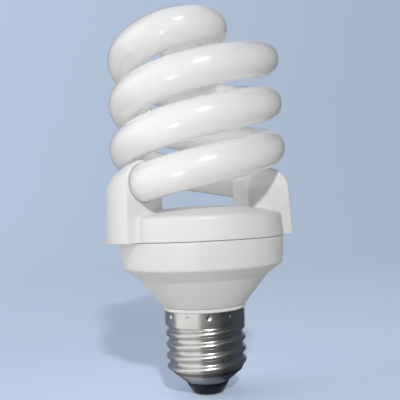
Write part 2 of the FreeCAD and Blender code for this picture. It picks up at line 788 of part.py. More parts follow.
def toroid():
    """Ferrite ring of the drive transformer and its three windings."""
    x, y = "toroid_x", "toroid_y"
    top = f"({PART_TOP} - toroid_wire)"
    low = f"({top} - toroid_height)"
    ring = rod("toroid_disc", "toroid_radius", low, top, x, y)
    bore = rod("toroid_bore", "toroid_bore_radius", f"{low} - part_gap", f"{top} + part_gap", x, y)
    keep("toroid_core", cut("toroid_form", ring, bore))
    sleeves = []
    for number in range(3):
        start = 120 * number
        parts = []
        for name, radius, reach in (("outer", "toroid_radius + toroid_wire", "toroid_wire"),
                                    ("inner", "toroid_bore_radius - toroid_wire", "toroid_wire + part_gap")):
            sector = primitive("Cylinder", f"toroid_{name}_{number + 1}", {
                "Radius": radius, "Height": f"toroid_height + 2 * ({reach})", "Angle": "toroid_winding_angle",
            }, (x, y, f"{low} - ({reach})"), FreeCAD.Rotation(UP, start))
            if name == "inner":
                sector.setExpression("Angle", "360")
            parts.append(sector)
        sleeves.append(cut(f"toroid_sleeve_{number + 1}", *parts))
    solid_core = rod("toroid_core_disc", "toroid_radius", low, top, x, y)
    core_bore = rod("toroid_core_bore", "toroid_bore_radius", f"{low} - part_gap", f"{top} + part_gap", x, y)
    core_tool = cut("toroid_core_tool", solid_core, core_bore)
    copper = cut("toroid_copper", fuse("toroid_sleeves", sleeves), core_tool)
    keep("toroid_windings", copper)


def transistors():
    """Two switching transistors that hang below the board on three leads each."""
    top = f"{PART_TOP} - transistor_stand"
    for number in (1, 2):
        x, y = f"transistor_{number}_x", f"transistor_{number}_y"
        case = block(f"transistor_case_{number}", [
            (f"{x} - transistor_width / 2", f"{x} + transistor_width / 2"),
            (f"{y} - transistor_thickness / 2", f"{y} + transistor_thickness / 2"),
            (f"{top} - transistor_height", top)])
        spots = [(f"{x} {sign} transistor_lead_pitch", y) for sign in ("-", "+ 0 *", "+")]
        leads(f"transistor_{number}", case, spots, f"{top} - transistor_thickness / 2")


def axial(name, kind, angle):
    """Round part that lies below the board at an angle of the ring, with two bent leads."""
    lie = FreeCAD.Rotation(Vec(0, 1, 0), 90)
    height = f"({PART_TOP} - {kind}_radius)"
    body = primitive("Cylinder", f"{name}_body", {"Radius": f"{kind}_radius", "Height": f"{kind}_length"},
                     (f"-{kind}_length / 2", "0", height), lie)
    stem = primitive("Cylinder", f"{name}_stem", {"Radius": "lead_radius", "Height": f"{kind}_span"},
                     (f"-{kind}_span / 2", "0", height), lie)
    parts = [body, stem]
    for side in "+-":
        x = f"0 {side} {kind}_span / 2"
        end = "ab"[side == "-"]
        parts.append(rod(f"{name}_leg_{end}", "lead_radius", height, f"{BOARD_TOP} + lead_tail", x))
        parts.append(primitive("Sphere", f"{name}_knee_{end}", {"Radius": "lead_radius"}, (x, "0", height)))
    part = fuse(name, parts)
    part.Placement = FreeCAD.Placement(Vec(), FreeCAD.Rotation(UP, worth(angle) + 90))
    part.setExpression("Placement.Base.x", link(f"{AXIAL_RING} * cos({angle})"))
    part.setExpression("Placement.Base.y", link(f"{AXIAL_RING} * sin({angle})"))
    middle = polar(worth(AXIAL_RING), worth(angle))
    along = polar(worth(f"{kind}_span / 2"), worth(angle) + 90)
    for spot in (middle + along, middle - along):
        drilled.append((spot, worth("lead_radius + hole_gap")))
    return part


def axial_parts():
    """Rectifier diodes, resistors, trigger diode and fuse resistor."""
    diodes = [axial(f"diode_{n + 1}", "diode", f"diode_first_angle + {n} * axial_step")
              for n in range(DIODES)]
    keep("rectifier_diodes", group("diode_group", diodes))
    resistors = [axial(f"resistor_{n + 1}", "resistor", f"resistor_first_angle + {n} * axial_step")
                 for n in range(RESISTORS)]
    keep("resistors", group("resistor_group", resistors))
    keep("trigger_diode", axial("trigger", "trigger", "trigger_angle"))
    top = f"({PART_TOP} - fuse_drop)"
    low = f"({top} - fuse_length)"
    body = rod("fuse_body", "fuse_radius", low, top, "fuse_x", "fuse_y")
    tail = rod("fuse_tail_wire", "lead_radius", f"{low} - fuse_tail", f"{low} + fuse_tail",
               "fuse_x", "fuse_y")
    leads("fuse_resistor", fuse("fuse_and_tail", [body, tail]), [("fuse_x", "fuse_y")], f"{top} - fuse_tail")


def group(name, things):
    """Separate solids kept in one node."""
    compound = doc.addObject("Part::Compound", name)
    compound.Links = things
    return compound


def pin_angles(side):
    """Angles of the two wire posts below one socket."""
    middle = (size("tube_end_angle") + size("socket_mouth_angle")) / 2 + side
    return [middle - size("pin_spread"), middle + size("pin_spread")]


def wiring():
    """Wire posts, the two leads of the cap and the four leads of the tube's filaments."""
    pins = []
    half = size("pin_side") / 2
    for side in FILAMENT_SIDES.values():
        for angle in pin_angles(side):
            spot = polar(worth(PIN_RING), angle)
            pins.append(block(f"pin_{len(pins) + 1}", [
                (f"{spot.x} - pin_side / 2", f"{spot.x} + pin_side / 2"),
                (f"{spot.y} - pin_side / 2", f"{spot.y} + pin_side / 2"),
                (LEDGE, f"{BOARD_TOP} + pin_length")]))
            drilled.append((spot, half * math.sqrt(2) + size("hole_gap")))
    keep("wrap_pins", group("pin_group", pins))
    radius, bend = size("wire_radius"), size("wire_bend")
    low = size("contact_thickness")
    end = Vec(size("fuse_x"), size("fuse_y"), worth(f"{PART_TOP} - fuse_drop - fuse_length - fuse_tail"))
    turn_low, turn_high = worth("stem_rise + 2 * wire_bend"), end.z - 2 * bend
    path = wire_path([Vec(0, 0, low), Vec(0, 0, turn_low), Vec(end.x, end.y, turn_high), end], bend)
    keep("contact_lead", shaped("contact_wire", bar(path, radius)))
    angle = size("shell_lead_angle")
    stand = worth(f"{NECK_BORE} - neck_gap") - radius
    drop = worth("collar_height - neck_length") - bend
    wall = worth("crest_radius - shell_sheet - knuckle_radius - wire_radius")
    path = wire_path([polar(stand, angle, worth(f"{BOARD_TOP} + lead_tail")), polar(stand, angle, drop),
                      polar(wall, angle, drop - (wall - stand))], radius * 2)
    keep("shell_lead", shaped("shell_wire", bar(path, radius)))
    drilled.append((polar(stand, angle), radius + size("hole_gap")))
    for name, side in FILAMENT_SIDES.items():
        wires = shaped(f"filament_wires_{name}", Part.makeCompound(filament_wires(side)))
        keep(f"filament_leads_{name}", wires)


def filament_wires(side):
    """Two thin wires from one end of the tube down to the tops of its posts."""
    radius = size("filament_radius")
    bend = 2 * radius
    tip, heading = coil_spot(size("tube_end_angle"))
    out = polar(1, size("tube_end_angle"))
    reach = size("coil_radius") * math.radians(size("tube_end_angle") - size("socket_back_angle")) / 2
    reach -= size("socket_end_wall") / 2
    wires = []
    for sign, angle in zip((-0.5, 0.5), pin_angles(0.0)):
        start = tip + out * (sign * size("filament_pitch")) - heading * size("seat_gap")
        turn = start - heading * reach
        post = polar(worth(PIN_RING), angle, worth(f"{BOARD_TOP} + pin_length") + radius)
        knee = Vec(turn.x, turn.y, tip.z - size("tube_radius") - 2 * bend)
        shape = bar(wire_path([start, turn, knee, post], bend), radius)
        wires.append(half_turn(shape) if side else shape)
    return wires


def board():
    """Round circuit board, drilled for every lead."""
    disc = rod("board_disc", f"{HOUSING_BORE} - board_gap", LEDGE, BOARD_TOP)
    depth = worth("board_thickness + 2 * board_gap")
    low = worth(f"{LEDGE} - board_gap")
    holes = [Part.makeCylinder(radius, depth, Vec(spot.x, spot.y, low)) for spot, radius in drilled]
    keep("circuit_board", cut("board_form", disc, shaped("board_holes", holes[0].multiFuse(holes[1:]))))


def check_and_write():
    """Stops on any failed object, then writes one file for each sub-part."""
    doc.recompute()
    failed = [thing.Name for thing in doc.Objects if {"Invalid", "Error"} & set(thing.State)]
    if failed:
        raise RuntimeError(f"failed objects: {failed}")
    for node, thing in nodes:
        if thing.Shape.isNull() or not thing.Shape.isValid() or not thing.Shape.Solids:
            raise RuntimeError(f"bad shape: {node}")
    os.makedirs("parts", exist_ok=True)
    for node, thing in nodes:
        thing.Shape.exportStep(f"parts/{node}.step")
        print(f"{node}: {len(thing.Shape.Solids)} solids, {thing.Shape.Volume:.1f} cubic millimetres")


def main():
    """Builds every sub-part and writes it."""
    cap()
    housing()
    cover()
    glass()
    capacitors()
    choke()
    toroid()
    transistors()
    axial_parts()
    wiring()
    board()
    check_and_write()


main()
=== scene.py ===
"""Looks of a spiral energy saving bulb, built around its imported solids.

Every piece is in metres in the frame of the solids: +Z runs up the lamp's axis and the origin is at the foot of the
centre contact. Sizes of the lamp's own classes are in millimetres and angles in degrees, counted from +X. Lengths of
the studio's classes are in metres.
"""
import logging
import math
from dataclasses import dataclass, field
from enum import Enum

import bmesh
import bpy
import numpy as np
from mathutils import Matrix, Vector


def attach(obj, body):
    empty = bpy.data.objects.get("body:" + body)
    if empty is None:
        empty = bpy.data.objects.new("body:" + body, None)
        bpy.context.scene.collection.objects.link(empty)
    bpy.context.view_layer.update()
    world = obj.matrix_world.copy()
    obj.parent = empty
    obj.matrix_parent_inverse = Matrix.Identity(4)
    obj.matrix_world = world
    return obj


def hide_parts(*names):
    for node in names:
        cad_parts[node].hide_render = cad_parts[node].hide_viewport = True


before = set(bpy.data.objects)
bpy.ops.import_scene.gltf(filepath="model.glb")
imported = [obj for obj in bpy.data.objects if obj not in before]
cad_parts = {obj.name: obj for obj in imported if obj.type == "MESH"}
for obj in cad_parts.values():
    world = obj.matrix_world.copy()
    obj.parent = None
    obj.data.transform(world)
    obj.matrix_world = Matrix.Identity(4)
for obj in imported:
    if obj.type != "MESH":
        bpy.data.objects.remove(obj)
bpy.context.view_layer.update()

LOG = logging.getLogger("spiral_bulb")
MM = 0.001
BODY = "root"
Colour = tuple[float, float, float]
Inputs = dict[str | int, object]
Group = tuple[bpy.types.NodeTree, bpy.types.Node, bpy.types.Node]
# Points nearer than this are one point, in millimetres
MERGE_GAP = 0.002
# A corner that turns by less than twice this angle stays as it is, in radians
STRAIGHT = 1e-3
# Distance between the stripes of a wave texture at scale 1
WAVE_STEP = math.pi / 10


class Pattern(Enum):
    """What a finish shows beside its grain."""

    PLAIN = "plain"
    TURNS = "turns"
    BANDS = "bands"


def feed(tree: bpy.types.NodeTree, node: bpy.types.Node, inputs: Inputs) -> None:
    """Sets a node's inputs.

    Args:
        tree: Tree of the node.
        node: The node.
        inputs: Value or source socket of each input, by its name or its place.
    """
    for label, value in inputs.items():
        if isinstance(value, bpy.types.NodeSocket):
            tree.links.new(value, node.inputs[label])
        else:
            node.inputs[label].default_value = value


def add_node(tree: bpy.types.NodeTree, kind: str, inputs: Inputs, **settings: object) -> bpy.types.Node:
    """Adds a node.

    Args:
        tree: Tree that gets the node.
        kind: Type of the node.
        inputs: Value or source socket of each input, by its name or its place.
        settings: Other properties of the node, which are set before its inputs.

    Returns:
        The node.
    """
    node = tree.nodes.new(kind)
    for label, value in settings.items():
        setattr(node, label, value)
    feed(tree, node, inputs)
    return node


def add_object(name: str, data: bpy.types.ID) -> bpy.types.Object:
    """Adds an object to the scene.

    Args:
        name: Name of the object.
        data: Its mesh, light or camera.

    Returns:
        The object.
    """
    thing = bpy.data.objects.new(name, data)
    bpy.context.scene.collection.objects.link(thing)
    return thing


class Effects:
    """Shader node groups that several finishes share, each built once."""

    FINE_DETAIL, BROAD_DETAIL, BROAD_SHARE = 3.0, 1.0, 0.1
    MARK_DETAIL, MARK_SWIRL, MARK_START, MARK_FULL = 4.0, 0.6, 0.35, 0.75

    def __init__(self) -> None:
        """Builds the groups."""
        self.grain = self._grain()
        self.smudge = self._smudge()

    @staticmethod
    def _group(name: str, inputs: dict[str, tuple[str, float]], outputs: dict[str, str]) -> Group:
        """Makes an empty group with named sockets.

        Args:
            name: Name of the group.
            inputs: Socket kind and default value of each input.
            outputs: Socket kind of each output.

        Returns:
            The tree, its input node and its output node.
        """
        tree = bpy.data.node_groups.new(name, "ShaderNodeTree")
        for label, (kind, value) in inputs.items():
            socket = tree.interface.new_socket(name=label, in_out="INPUT", socket_type=kind)
            if kind == "NodeSocketFloat":
                socket.default_value = value
        for label, kind in outputs.items():
            tree.interface.new_socket(name=label, in_out="OUTPUT", socket_type=kind)
        return tree, tree.nodes.new("NodeGroupInput"), tree.nodes.new("NodeGroupOutput")

    def _grain(self) -> bpy.types.NodeTree:
        """Builds the fine unevenness of a moulded, drawn or fired surface, as a height.

        Returns:
            The group.
        """
        tree, start, end = self._group(
            "fine_grain",
            {"Vector": ("NodeSocketVector", 0), "Scale": ("NodeSocketFloat", 900.0), "Wave": ("NodeSocketFloat", 0.5)},
            {"Height": "NodeSocketFloat"},
        )
        place, scale, wave = (start.outputs[label] for label in ("Vector", "Scale", "Wave"))
        fine = add_node(tree, "ShaderNodeTexNoise", {"Vector": place, "Scale": scale, "Detail": self.FINE_DETAIL})
        coarse = add_node(tree, "ShaderNodeMath", {0: scale, 1: self.BROAD_SHARE}, operation="MULTIPLY")
        broad = add_node(tree, "ShaderNodeTexNoise",
                         {"Vector": place, "Scale": coarse.outputs[0], "Detail": self.BROAD_DETAIL})
        mix = add_node(tree, "ShaderNodeMix", {"Factor": wave, "A": fine.outputs["Fac"], "B": broad.outputs["Fac"]})
        feed(tree, end, {"Height": mix.outputs["Result"]})
        return tree

    def _smudge(self) -> bpy.types.NodeTree:
        """Builds faint handling marks: a shift of colour and of roughness.

        Returns:
            The group.
        """
        tree, start, end = self._group(
            "handling_marks",
            {
                "Vector": ("NodeSocketVector", 0), "Scale": ("NodeSocketFloat", 60.0),
                "Clean": ("NodeSocketColor", 0), "Marked": ("NodeSocketColor", 0),
                "Roughness": ("NodeSocketFloat", 0.3), "Spread": ("NodeSocketFloat", 0.08),
            },
            {"Color": "NodeSocketColor", "Roughness": "NodeSocketFloat"},
        )
        given = start.outputs
        noise = add_node(tree, "ShaderNodeTexNoise", {
            "Vector": given["Vector"], "Scale": given["Scale"], "Detail": self.MARK_DETAIL,
            "Distortion": self.MARK_SWIRL,
        })
        ramp = add_node(tree, "ShaderNodeMapRange", {
            "Value": noise.outputs["Fac"], "From Min": self.MARK_START, "From Max": self.MARK_FULL,
        })
        mark = ramp.outputs["Result"]
        tint = add_node(tree, "ShaderNodeMix", {"Factor": mark, "A": given["Clean"], "B": given["Marked"]},
                        data_type="RGBA")
        shift = add_node(tree, "ShaderNodeMath", {0: mark, 1: given["Spread"], 2: given["Roughness"]},
                         operation="MULTIPLY_ADD")
        feed(tree, end, {"Color": tint.outputs["Result"], "Roughness": shift.outputs[0]})
        return tree


@dataclass(frozen=True)
class Finish:
    """One surface finish.

    Scales are per metre of Object coordinates, and depths and the pattern's step are in millimetres. Marked is the
    colour in the handling marks. The pattern's edge gives the heights of the wave at which a stripe starts and is
    full. The painted radial shade gives the brightness left at distances from the axis in millimetres, from the
    nearest outwards: it is painted shade, a darkening of the colour by radius.
    """

    name: str
    colour: Colour
    marked: Colour
    roughness: float
    spread: float = 0.08
    metallic: float = 0.0
    coat: float = 0.0
    coat_roughness: float = 0.05
    ior: float = 1.5
    glow_through: float = 0.0
    glow_depth: float = 4.0
    grain_scale: float = 900.0
    grain_wave: float = 0.3
    grain_depth: float = 0.02
    mark_scale: float = 60.0
    pattern: Pattern = Pattern.PLAIN
    pattern_step: float = 0.5
    pattern_colour: Colour = (0.05, 0.03, 0.02)
    pattern_edge: tuple[float, float] = (0.55, 0.9)
    painted_radial_shade: tuple[tuple[float, float], ...] = ()

    def material(self, effects: Effects) -> bpy.types.Material:
        """Builds the finish as a node material.

        Args:
            effects: The shared node groups.

        Returns:
            The material.
        """
        material = bpy.data.materials.new(self.name)
        material.use_nodes = True
        tree = material.node_tree
        place = add_node(tree, "ShaderNodeTexCoord", {}).outputs["Object"]
        marks = add_node(tree, "ShaderNodeGroup", {
            "Vector": place, "Scale": self.mark_scale, "Clean": (*self.colour, 1.0), "Marked": (*self.marked, 1.0),
            "Roughness": self.roughness, "Spread": self.spread,
        }, node_tree=effects.smudge)
        grain = add_node(tree, "ShaderNodeGroup", {
            "Vector": place, "Scale": self.grain_scale, "Wave": self.grain_wave,
        }, node_tree=effects.grain)
        bump = add_node(tree, "ShaderNodeBump", {
            "Strength": 1.0, "Distance": self.grain_depth * MM, "Height": grain.outputs["Height"],
        })
        colour = marks.outputs["Color"]
        if self.pattern is not Pattern.PLAIN:
            colour = self._striped(tree, place, colour)
        # Painted shade: the colour is darkened by distance from the axis
        if self.painted_radial_shade:
            colour = self._paint_radial_shade(tree, place, colour)
        feed(tree, tree.nodes["Principled BSDF"], {
            "Base Color": colour, "Metallic": self.metallic, "Roughness": marks.outputs["Roughness"],
            "IOR": self.ior, "Normal": bump.outputs["Normal"], "Coat Weight": self.coat,
            "Coat Roughness": self.coat_roughness, "Subsurface Weight": self.glow_through,
            "Subsurface Radius": (1.0, 1.0, 1.0), "Subsurface Scale": self.glow_depth * MM,
        })
        return material

    def _paint_radial_shade(self, tree: bpy.types.NodeTree, place: bpy.types.NodeSocket,
                   colour: bpy.types.NodeSocket) -> bpy.types.NodeSocket:
        """Paints shade into a turned piece's colour by its distance from the axis.

        Args:
            tree: Tree of the material.
            place: Object coordinates.
            colour: Colour of the metal, before the painted shade.

        Returns:
            The colour with the painted shade.
        """
        # Painted shade: brightness stops by distance from the axis, multiplied into the colour
        outer = self.painted_radial_shade[-1][0]
        flat = add_node(tree, "ShaderNodeVectorMath", {0: place, 1: (1.0, 1.0, 0.0)}, operation="MULTIPLY")
        away = add_node(tree, "ShaderNodeVectorMath", {0: flat.outputs[0]}, operation="LENGTH")
        share = add_node(tree, "ShaderNodeMath", {0: away.outputs["Value"], 1: outer * MM}, operation="DIVIDE")
        ramp = add_node(tree, "ShaderNodeValToRGB", {"Fac": share.outputs[0]})
        stops = ramp.color_ramp.elements
        while len(stops) < len(self.painted_radial_shade):
            stops.new(0.5)
        for stop, (radius, level) in zip(stops, self.painted_radial_shade):
            stop.position, stop.color = radius / outer, (level, level, level, 1.0)
        tint = add_node(tree, "ShaderNodeMix", {"Factor": 1.0, "A": colour, "B": ramp.outputs["Color"]},
                        data_type="RGBA", blend_type="MULTIPLY")
        return tint.outputs["Result"]

    def _striped(self, tree: bpy.types.NodeTree, place: bpy.types.NodeSocket,
                 colour: bpy.types.NodeSocket) -> bpy.types.NodeSocket:
        """Adds stripes across Z, or across X where the stripes are bands on lying parts.

        Args:
            tree: Tree of the material.
            place: Object coordinates.
            colour: Colour between the stripes.

        Returns:
            The striped colour.
        """
        start, full = self.pattern_edge
        wave = add_node(tree, "ShaderNodeTexWave", {"Vector": place, "Scale": WAVE_STEP / (self.pattern_step * MM)},
                        bands_direction="Z" if self.pattern is Pattern.TURNS else "X")
        sharp = add_node(tree, "ShaderNodeMapRange", {
            "Value": wave.outputs["Fac"], "From Min": start, "From Max": full,
        })
        tint = add_node(tree, "ShaderNodeMix", {
            "Factor": sharp.outputs["Result"], "A": colour, "B": (*self.pattern_colour, 1.0),
        }, data_type="RGBA")
        return tint.outputs["Result"]


OPAL_GLASS = Finish("opal_glass", (0.86, 0.86, 0.855), (0.84, 0.84, 0.835), 0.2, spread=0.05, coat=0.6,
                    coat_roughness=0.04, glow_through=0.9, glow_depth=12.0, grain_scale=120.0, grain_wave=0.8,
                    grain_depth=0.03)
WHITE_PLASTIC = Finish("white_plastic", (0.84, 0.84, 0.835), (0.815, 0.815, 0.81), 0.34, grain_scale=2600.0,
                       grain_wave=0.25, grain_depth=0.006, mark_scale=45.0)
# The nickel's colour carries painted shade by radius: darker down the cone towards the rim and in a ring at the groove
NICKEL = Finish("nickel_sheet", (0.70, 0.695, 0.68), (0.60, 0.59, 0.57), 0.25, spread=0.1, metallic=1.0,
                grain_scale=1500.0, grain_wave=0.35, grain_depth=0.012, mark_scale=170.0,
                painted_radial_shade=((7.2, 0.2), (8.2, 0.4), (9.6, 0.55), (11.0, 0.75), (11.4, 0.3), (11.75, 0.3),
                         (12.0, 1.0), (13.2, 1.0)))
BLACK_GLASS = Finish("black_glass", (0.006, 0.006, 0.008), (0.012, 0.012, 0.014), 0.22, spread=0.15, ior=1.3,
                     grain_scale=700.0, grain_wave=0.5, grain_depth=0.04, mark_scale=220.0)
TINNED = Finish("tinned_metal", (0.70, 0.68, 0.62), (0.52, 0.49, 0.43), 0.28, metallic=1.0, grain_scale=1200.0,
                mark_scale=260.0)
CEMENT = Finish("socket_cement", (0.72, 0.70, 0.65), (0.62, 0.59, 0.53), 0.85, grain_scale=1400.0, grain_depth=0.12,
                mark_scale=300.0)
LAMINATE = Finish("board_laminate", (0.46, 0.33, 0.15), (0.38, 0.26, 0.11), 0.45, grain_scale=1800.0,
                  mark_scale=120.0)
BLACK_PLASTIC = Finish("black_plastic", (0.03, 0.03, 0.034), (0.05, 0.05, 0.055), 0.42, grain_scale=2200.0,
                       grain_depth=0.015, mark_scale=180.0)
FILM_LACQUER = Finish("film_lacquer", (0.33, 0.06, 0.03), (0.27, 0.045, 0.025), 0.22, coat=0.5, grain_scale=500.0,
                      grain_wave=0.6, mark_scale=140.0)
FERRITE = Finish("ferrite", (0.06, 0.06, 0.065), (0.10, 0.10, 0.105), 0.55, grain_scale=3000.0, grain_depth=0.03,
                 mark_scale=300.0)
COPPER = Finish("enamelled_copper", (0.60, 0.24, 0.09), (0.52, 0.19, 0.07), 0.25, metallic=0.9,
                pattern=Pattern.TURNS, pattern_step=0.35, pattern_colour=(0.20, 0.06, 0.02), mark_scale=200.0)
LACQUER = Finish("resistor_lacquer", (0.58, 0.45, 0.28), (0.52, 0.39, 0.23), 0.4, pattern=Pattern.BANDS,
                 pattern_step=1.1, pattern_colour=(0.25, 0.03, 0.02), mark_scale=240.0)
RED_GLASS = Finish("red_glass", (0.55, 0.12, 0.03), (0.48, 0.09, 0.02), 0.1, coat=0.6, mark_scale=260.0)


def outwards(mesh: bpy.types.Mesh, sharp: float) -> None:
    """Merges doubles, turns the faces outwards and shades them.

    Args:
        mesh: The mesh.
        sharp: Angle in degrees above which an edge stays sharp.
    """
    work = bmesh.new()
    work.from_mesh(mesh)
    bmesh.ops.remove_doubles(work, verts=work.verts, dist=MERGE_GAP * MM)
    bmesh.ops.recalc_face_normals(work, faces=work.faces)
    work.to_mesh(mesh)
    work.free()
    mesh.shade_smooth()
    mesh.set_sharp_from_angle(angle=math.radians(sharp))


class Surface:
    """Points and faces gathered for one mesh piece."""

    def __init__(self) -> None:
        """Starts empty."""
        self.points: list[np.ndarray] = []
        self.faces: list[tuple[int, ...]] = []
        self.count = 0

    def grid(self, rows: np.ndarray, wrap_rows: bool = False, wrap_columns: bool = False) -> None:
        """Adds a grid of points joined by quads.

        Args:
            rows: Points in millimetres, as rows by columns by 3.
            wrap_rows: Joins the last row to the first.
            wrap_columns: Joins the last column to the first.
        """
        high, wide = rows.shape[:2]
        index = np.arange(high * wide).reshape(high, wide) + self.count
        if wrap_rows:
            index = np.vstack([index, index[:1]])
        if wrap_columns:
            index = np.hstack([index, index[:, :1]])
        quads = np.stack([index[:-1, :-1], index[:-1, 1:], index[1:, 1:], index[1:, :-1]], axis=-1).reshape(-1, 4)
        self.points.append(rows.reshape(-1, 3))
        self.faces += [tuple(quad) for quad in quads.tolist()]
        self.count += high * wide

    def turned(self, outline: np.ndarray, steps: int) -> None:
        """Adds a closed outline of radius and height turned about the axis.

        Args:
            outline: Points as radius and height, in millimetres.
            steps: Number of points round the axis.
        """
        angle = np.linspace(0, 2 * np.pi, steps, endpoint=False)
        rows = np.stack([np.outer(outline[:, 0], np.cos(angle)), np.outer(outline[:, 0], np.sin(angle)),
                         np.repeat(outline[:, 1:], steps, axis=1)], axis=-1)
        self.grid(rows, wrap_rows=True, wrap_columns=True)

    def piece(self, name: str, sharp: float = 40.0) -> bpy.types.Object:
        """Makes the object, with doubles merged and faces turned outwards.

        Args:
            name: Name of the piece.
            sharp: Angle in degrees above which an edge stays sharp.

        Returns:
            The object.
        """
        mesh = bpy.data.meshes.new(name)
        mesh.from_pydata((np.vstack(self.points) * MM).tolist(), [], self.faces)
        outwards(mesh, sharp)
        return add_object(name, mesh)


@dataclass(frozen=True)
class Corner:
    """Corner of an outline, with the radius of its round, in millimetres."""

    radius: float
    height: float
    round: float = 0.0


def rounded(corners: list[Corner], step: float = 0.7, facets: int = 8) -> np.ndarray:
    """Rounds the corners of a closed outline and fills in points along its sides.

    Args:
        corners: Corners in order.
        step: Longest distance between points on a side, in millimetres.
        facets: Segments of each round.

    Returns:
        Points as radius and height.
    """
    spots = [np.array([corner.radius, corner.height]) for corner in corners]
    outline: list[np.ndarray] = []
    for number, (corner, spot) in enumerate(zip(corners, spots)):
        before, after = spots[number - 1], spots[(number + 1) % len(spots)]
        arrive = (spot - before) / np.linalg.norm(spot - before)
        leave = (after - spot) / np.linalg.norm(after - spot)
        half = math.acos(np.clip(arrive @ leave, -1, 1)) / 2
        if corner.round <= 0 or half < STRAIGHT:
            outline.append(spot)
            continue
        reach = corner.round * math.tan(half)
        middle = spot + (leave - arrive) / np.linalg.norm(leave - arrive) * corner.round / math.cos(half)
        first, last = spot - arrive * reach - middle, spot + leave * reach - middle
        for share in np.linspace(0, 1, facets + 1):
            turn = 2 * half * share
            outline.append(middle + (first * math.sin(2 * half - turn) + last * math.sin(turn)) / math.sin(2 * half))
    filled: list[np.ndarray] = []
    for first, last in zip(outline, outline[1:] + outline[:1]):
        count = max(1, math.ceil(np.linalg.norm(last - first) / step))
        filled += [first + (last - first) * share for share in np.arange(count) / count]
    return np.array(filled)


class Rule:
    """Value in a node tree, with arithmetic that adds nodes."""

    def __init__(self, tree: bpy.types.NodeTree, socket: bpy.types.NodeSocket) -> None:
        """Wraps an output socket."""
        self.tree, self.socket = tree, socket

    def math(self, operation: str, *others: "Rule | float") -> "Rule":
        """Adds a math node.

        Args:
            operation: Name of the node's operation.
            others: Further values.

        Returns:
            The node's result.
        """
        sources = [value.socket if isinstance(value, Rule) else value for value in (self, *others)]
        node = add_node(self.tree, "ShaderNodeMath", dict(enumerate(sources)), operation=operation)
        return Rule(self.tree, node.outputs[0])

    def __add__(self, other: "Rule | float") -> "Rule":
        """Sum."""
        return self.math("ADD", other)

    def __sub__(self, other: "Rule | float") -> "Rule":
        """Difference."""
        return self.math("SUBTRACT", other)

    def __mul__(self, other: "Rule | float") -> "Rule":
        """Product."""
        return self.math("MULTIPLY", other)

    def __truediv__(self, other: "Rule | float") -> "Rule":
        """Quotient."""
        return self.math("DIVIDE", other)

    def clamped(self) -> "Rule":
        """The value held between 0 and 1."""
        return self.math("MAXIMUM", 0.0).math("MINIMUM", 1.0)

    def root(self) -> "Rule":
        """Square root, with values below zero taken as zero."""
        return self.math("MAXIMUM", 0.0).math("SQRT")

    def pick(self, below: "Rule | float", here: "Rule", there: "Rule") -> "Rule":
        """One of two values.

        Args:
            below: Limit.
            here: Value where this rule is below the limit.
            there: Value elsewhere.

        Returns:
            The chosen value.
        """
        return there + self.math("LESS_THAN", below) * (here - there)


class ShapeTree:
    """Geometry Nodes tree with named inputs, which makes one piece."""

    def __init__(self, name: str, inputs: dict[str, float | int]) -> None:
        """Makes the tree and its sockets.

        Args:
            name: Name of the tree and of its piece.
            inputs: Value of each named input. Whole numbers make whole number sockets.
        """
        self.name, self.values = name, inputs
        self.tree = bpy.data.node_groups.new(name, "GeometryNodeTree")
        for label, value in inputs.items():
            kind = "NodeSocketInt" if isinstance(value, int) else "NodeSocketFloat"
            self.tree.interface.new_socket(name=label, in_out="INPUT", socket_type=kind)
        self.tree.interface.new_socket(name="Material", in_out="INPUT", socket_type="NodeSocketMaterial")
        self.tree.interface.new_socket(name="Geometry", in_out="OUTPUT", socket_type="NodeSocketGeometry")
        self.start = self.tree.nodes.new("NodeGroupInput")
        self.end = self.tree.nodes.new("NodeGroupOutput")

    def value(self, label: str) -> Rule:
        """Value of a named input."""
        return Rule(self.tree, self.start.outputs[label])

    def node(self, kind: str, **inputs: "Rule | bpy.types.NodeSocket | float") -> bpy.types.Node:
        """Adds a node.

        Args:
            kind: Type of the node.
            inputs: Value or source of each input, by its name with underscores for spaces.

        Returns:
            The node.
        """
        return add_node(self.tree, kind, {
            label.replace("_", " "): value.socket if isinstance(value, Rule) else value
            for label, value in inputs.items()
        })

    def position(self, x: Rule, y: Rule, z: Rule) -> bpy.types.NodeSocket:
        """Point from three values in millimetres, in metres."""
        point = self.node("ShaderNodeCombineXYZ", X=x * MM, Y=y * MM, Z=z * MM)
        return point.outputs[0]

    def piece(self, geometry: bpy.types.NodeSocket, material: bpy.types.Material) -> bpy.types.Object:
        """Ends the tree and turns its result into a plain mesh piece.

        Args:
            geometry: The finished geometry.
            material: Material of the piece.

        Returns:
            The object, with no modifier left.
        """
        real = self.node("GeometryNodeRealizeInstances", Geometry=geometry)
        painted = self.node("GeometryNodeSetMaterial", Geometry=real.outputs[0],
                            Material=self.start.outputs["Material"])
        self.tree.links.new(painted.outputs[0], self.end.inputs["Geometry"])
        thing = add_object(self.name, bpy.data.meshes.new(f"{self.name}_seed"))
        modifier = thing.modifiers.new(self.name, "NODES")
        modifier.node_group = self.tree
        for item in self.tree.interface.items_tree:
            if item.in_out == "INPUT":
                modifier[item.identifier] = material if item.name == "Material" else self.values[item.name]
        bpy.context.view_layer.update()
        mesh = bpy.data.meshes.new_from_object(thing.evaluated_get(bpy.context.evaluated_depsgraph_get()))
        thing.modifiers.remove(modifier)
        thing.data = mesh
        mesh.name = self.name
        mesh.shade_smooth()
        return thing


def settle(thing: bpy.types.Object, node: str, material: bpy.types.Material) -> None:
    """Puts a new piece in place of a solid.

    Args:
        thing: The piece.
        node: Name of the solid that it stands for.
        material: Its material.
    """
    thing.data.materials.clear()
    thing.data.materials.append(material)
    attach(thing, BODY)
    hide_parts(node)
    LOG.info("%s: %d faces", thing.name, len(thing.data.polygons))


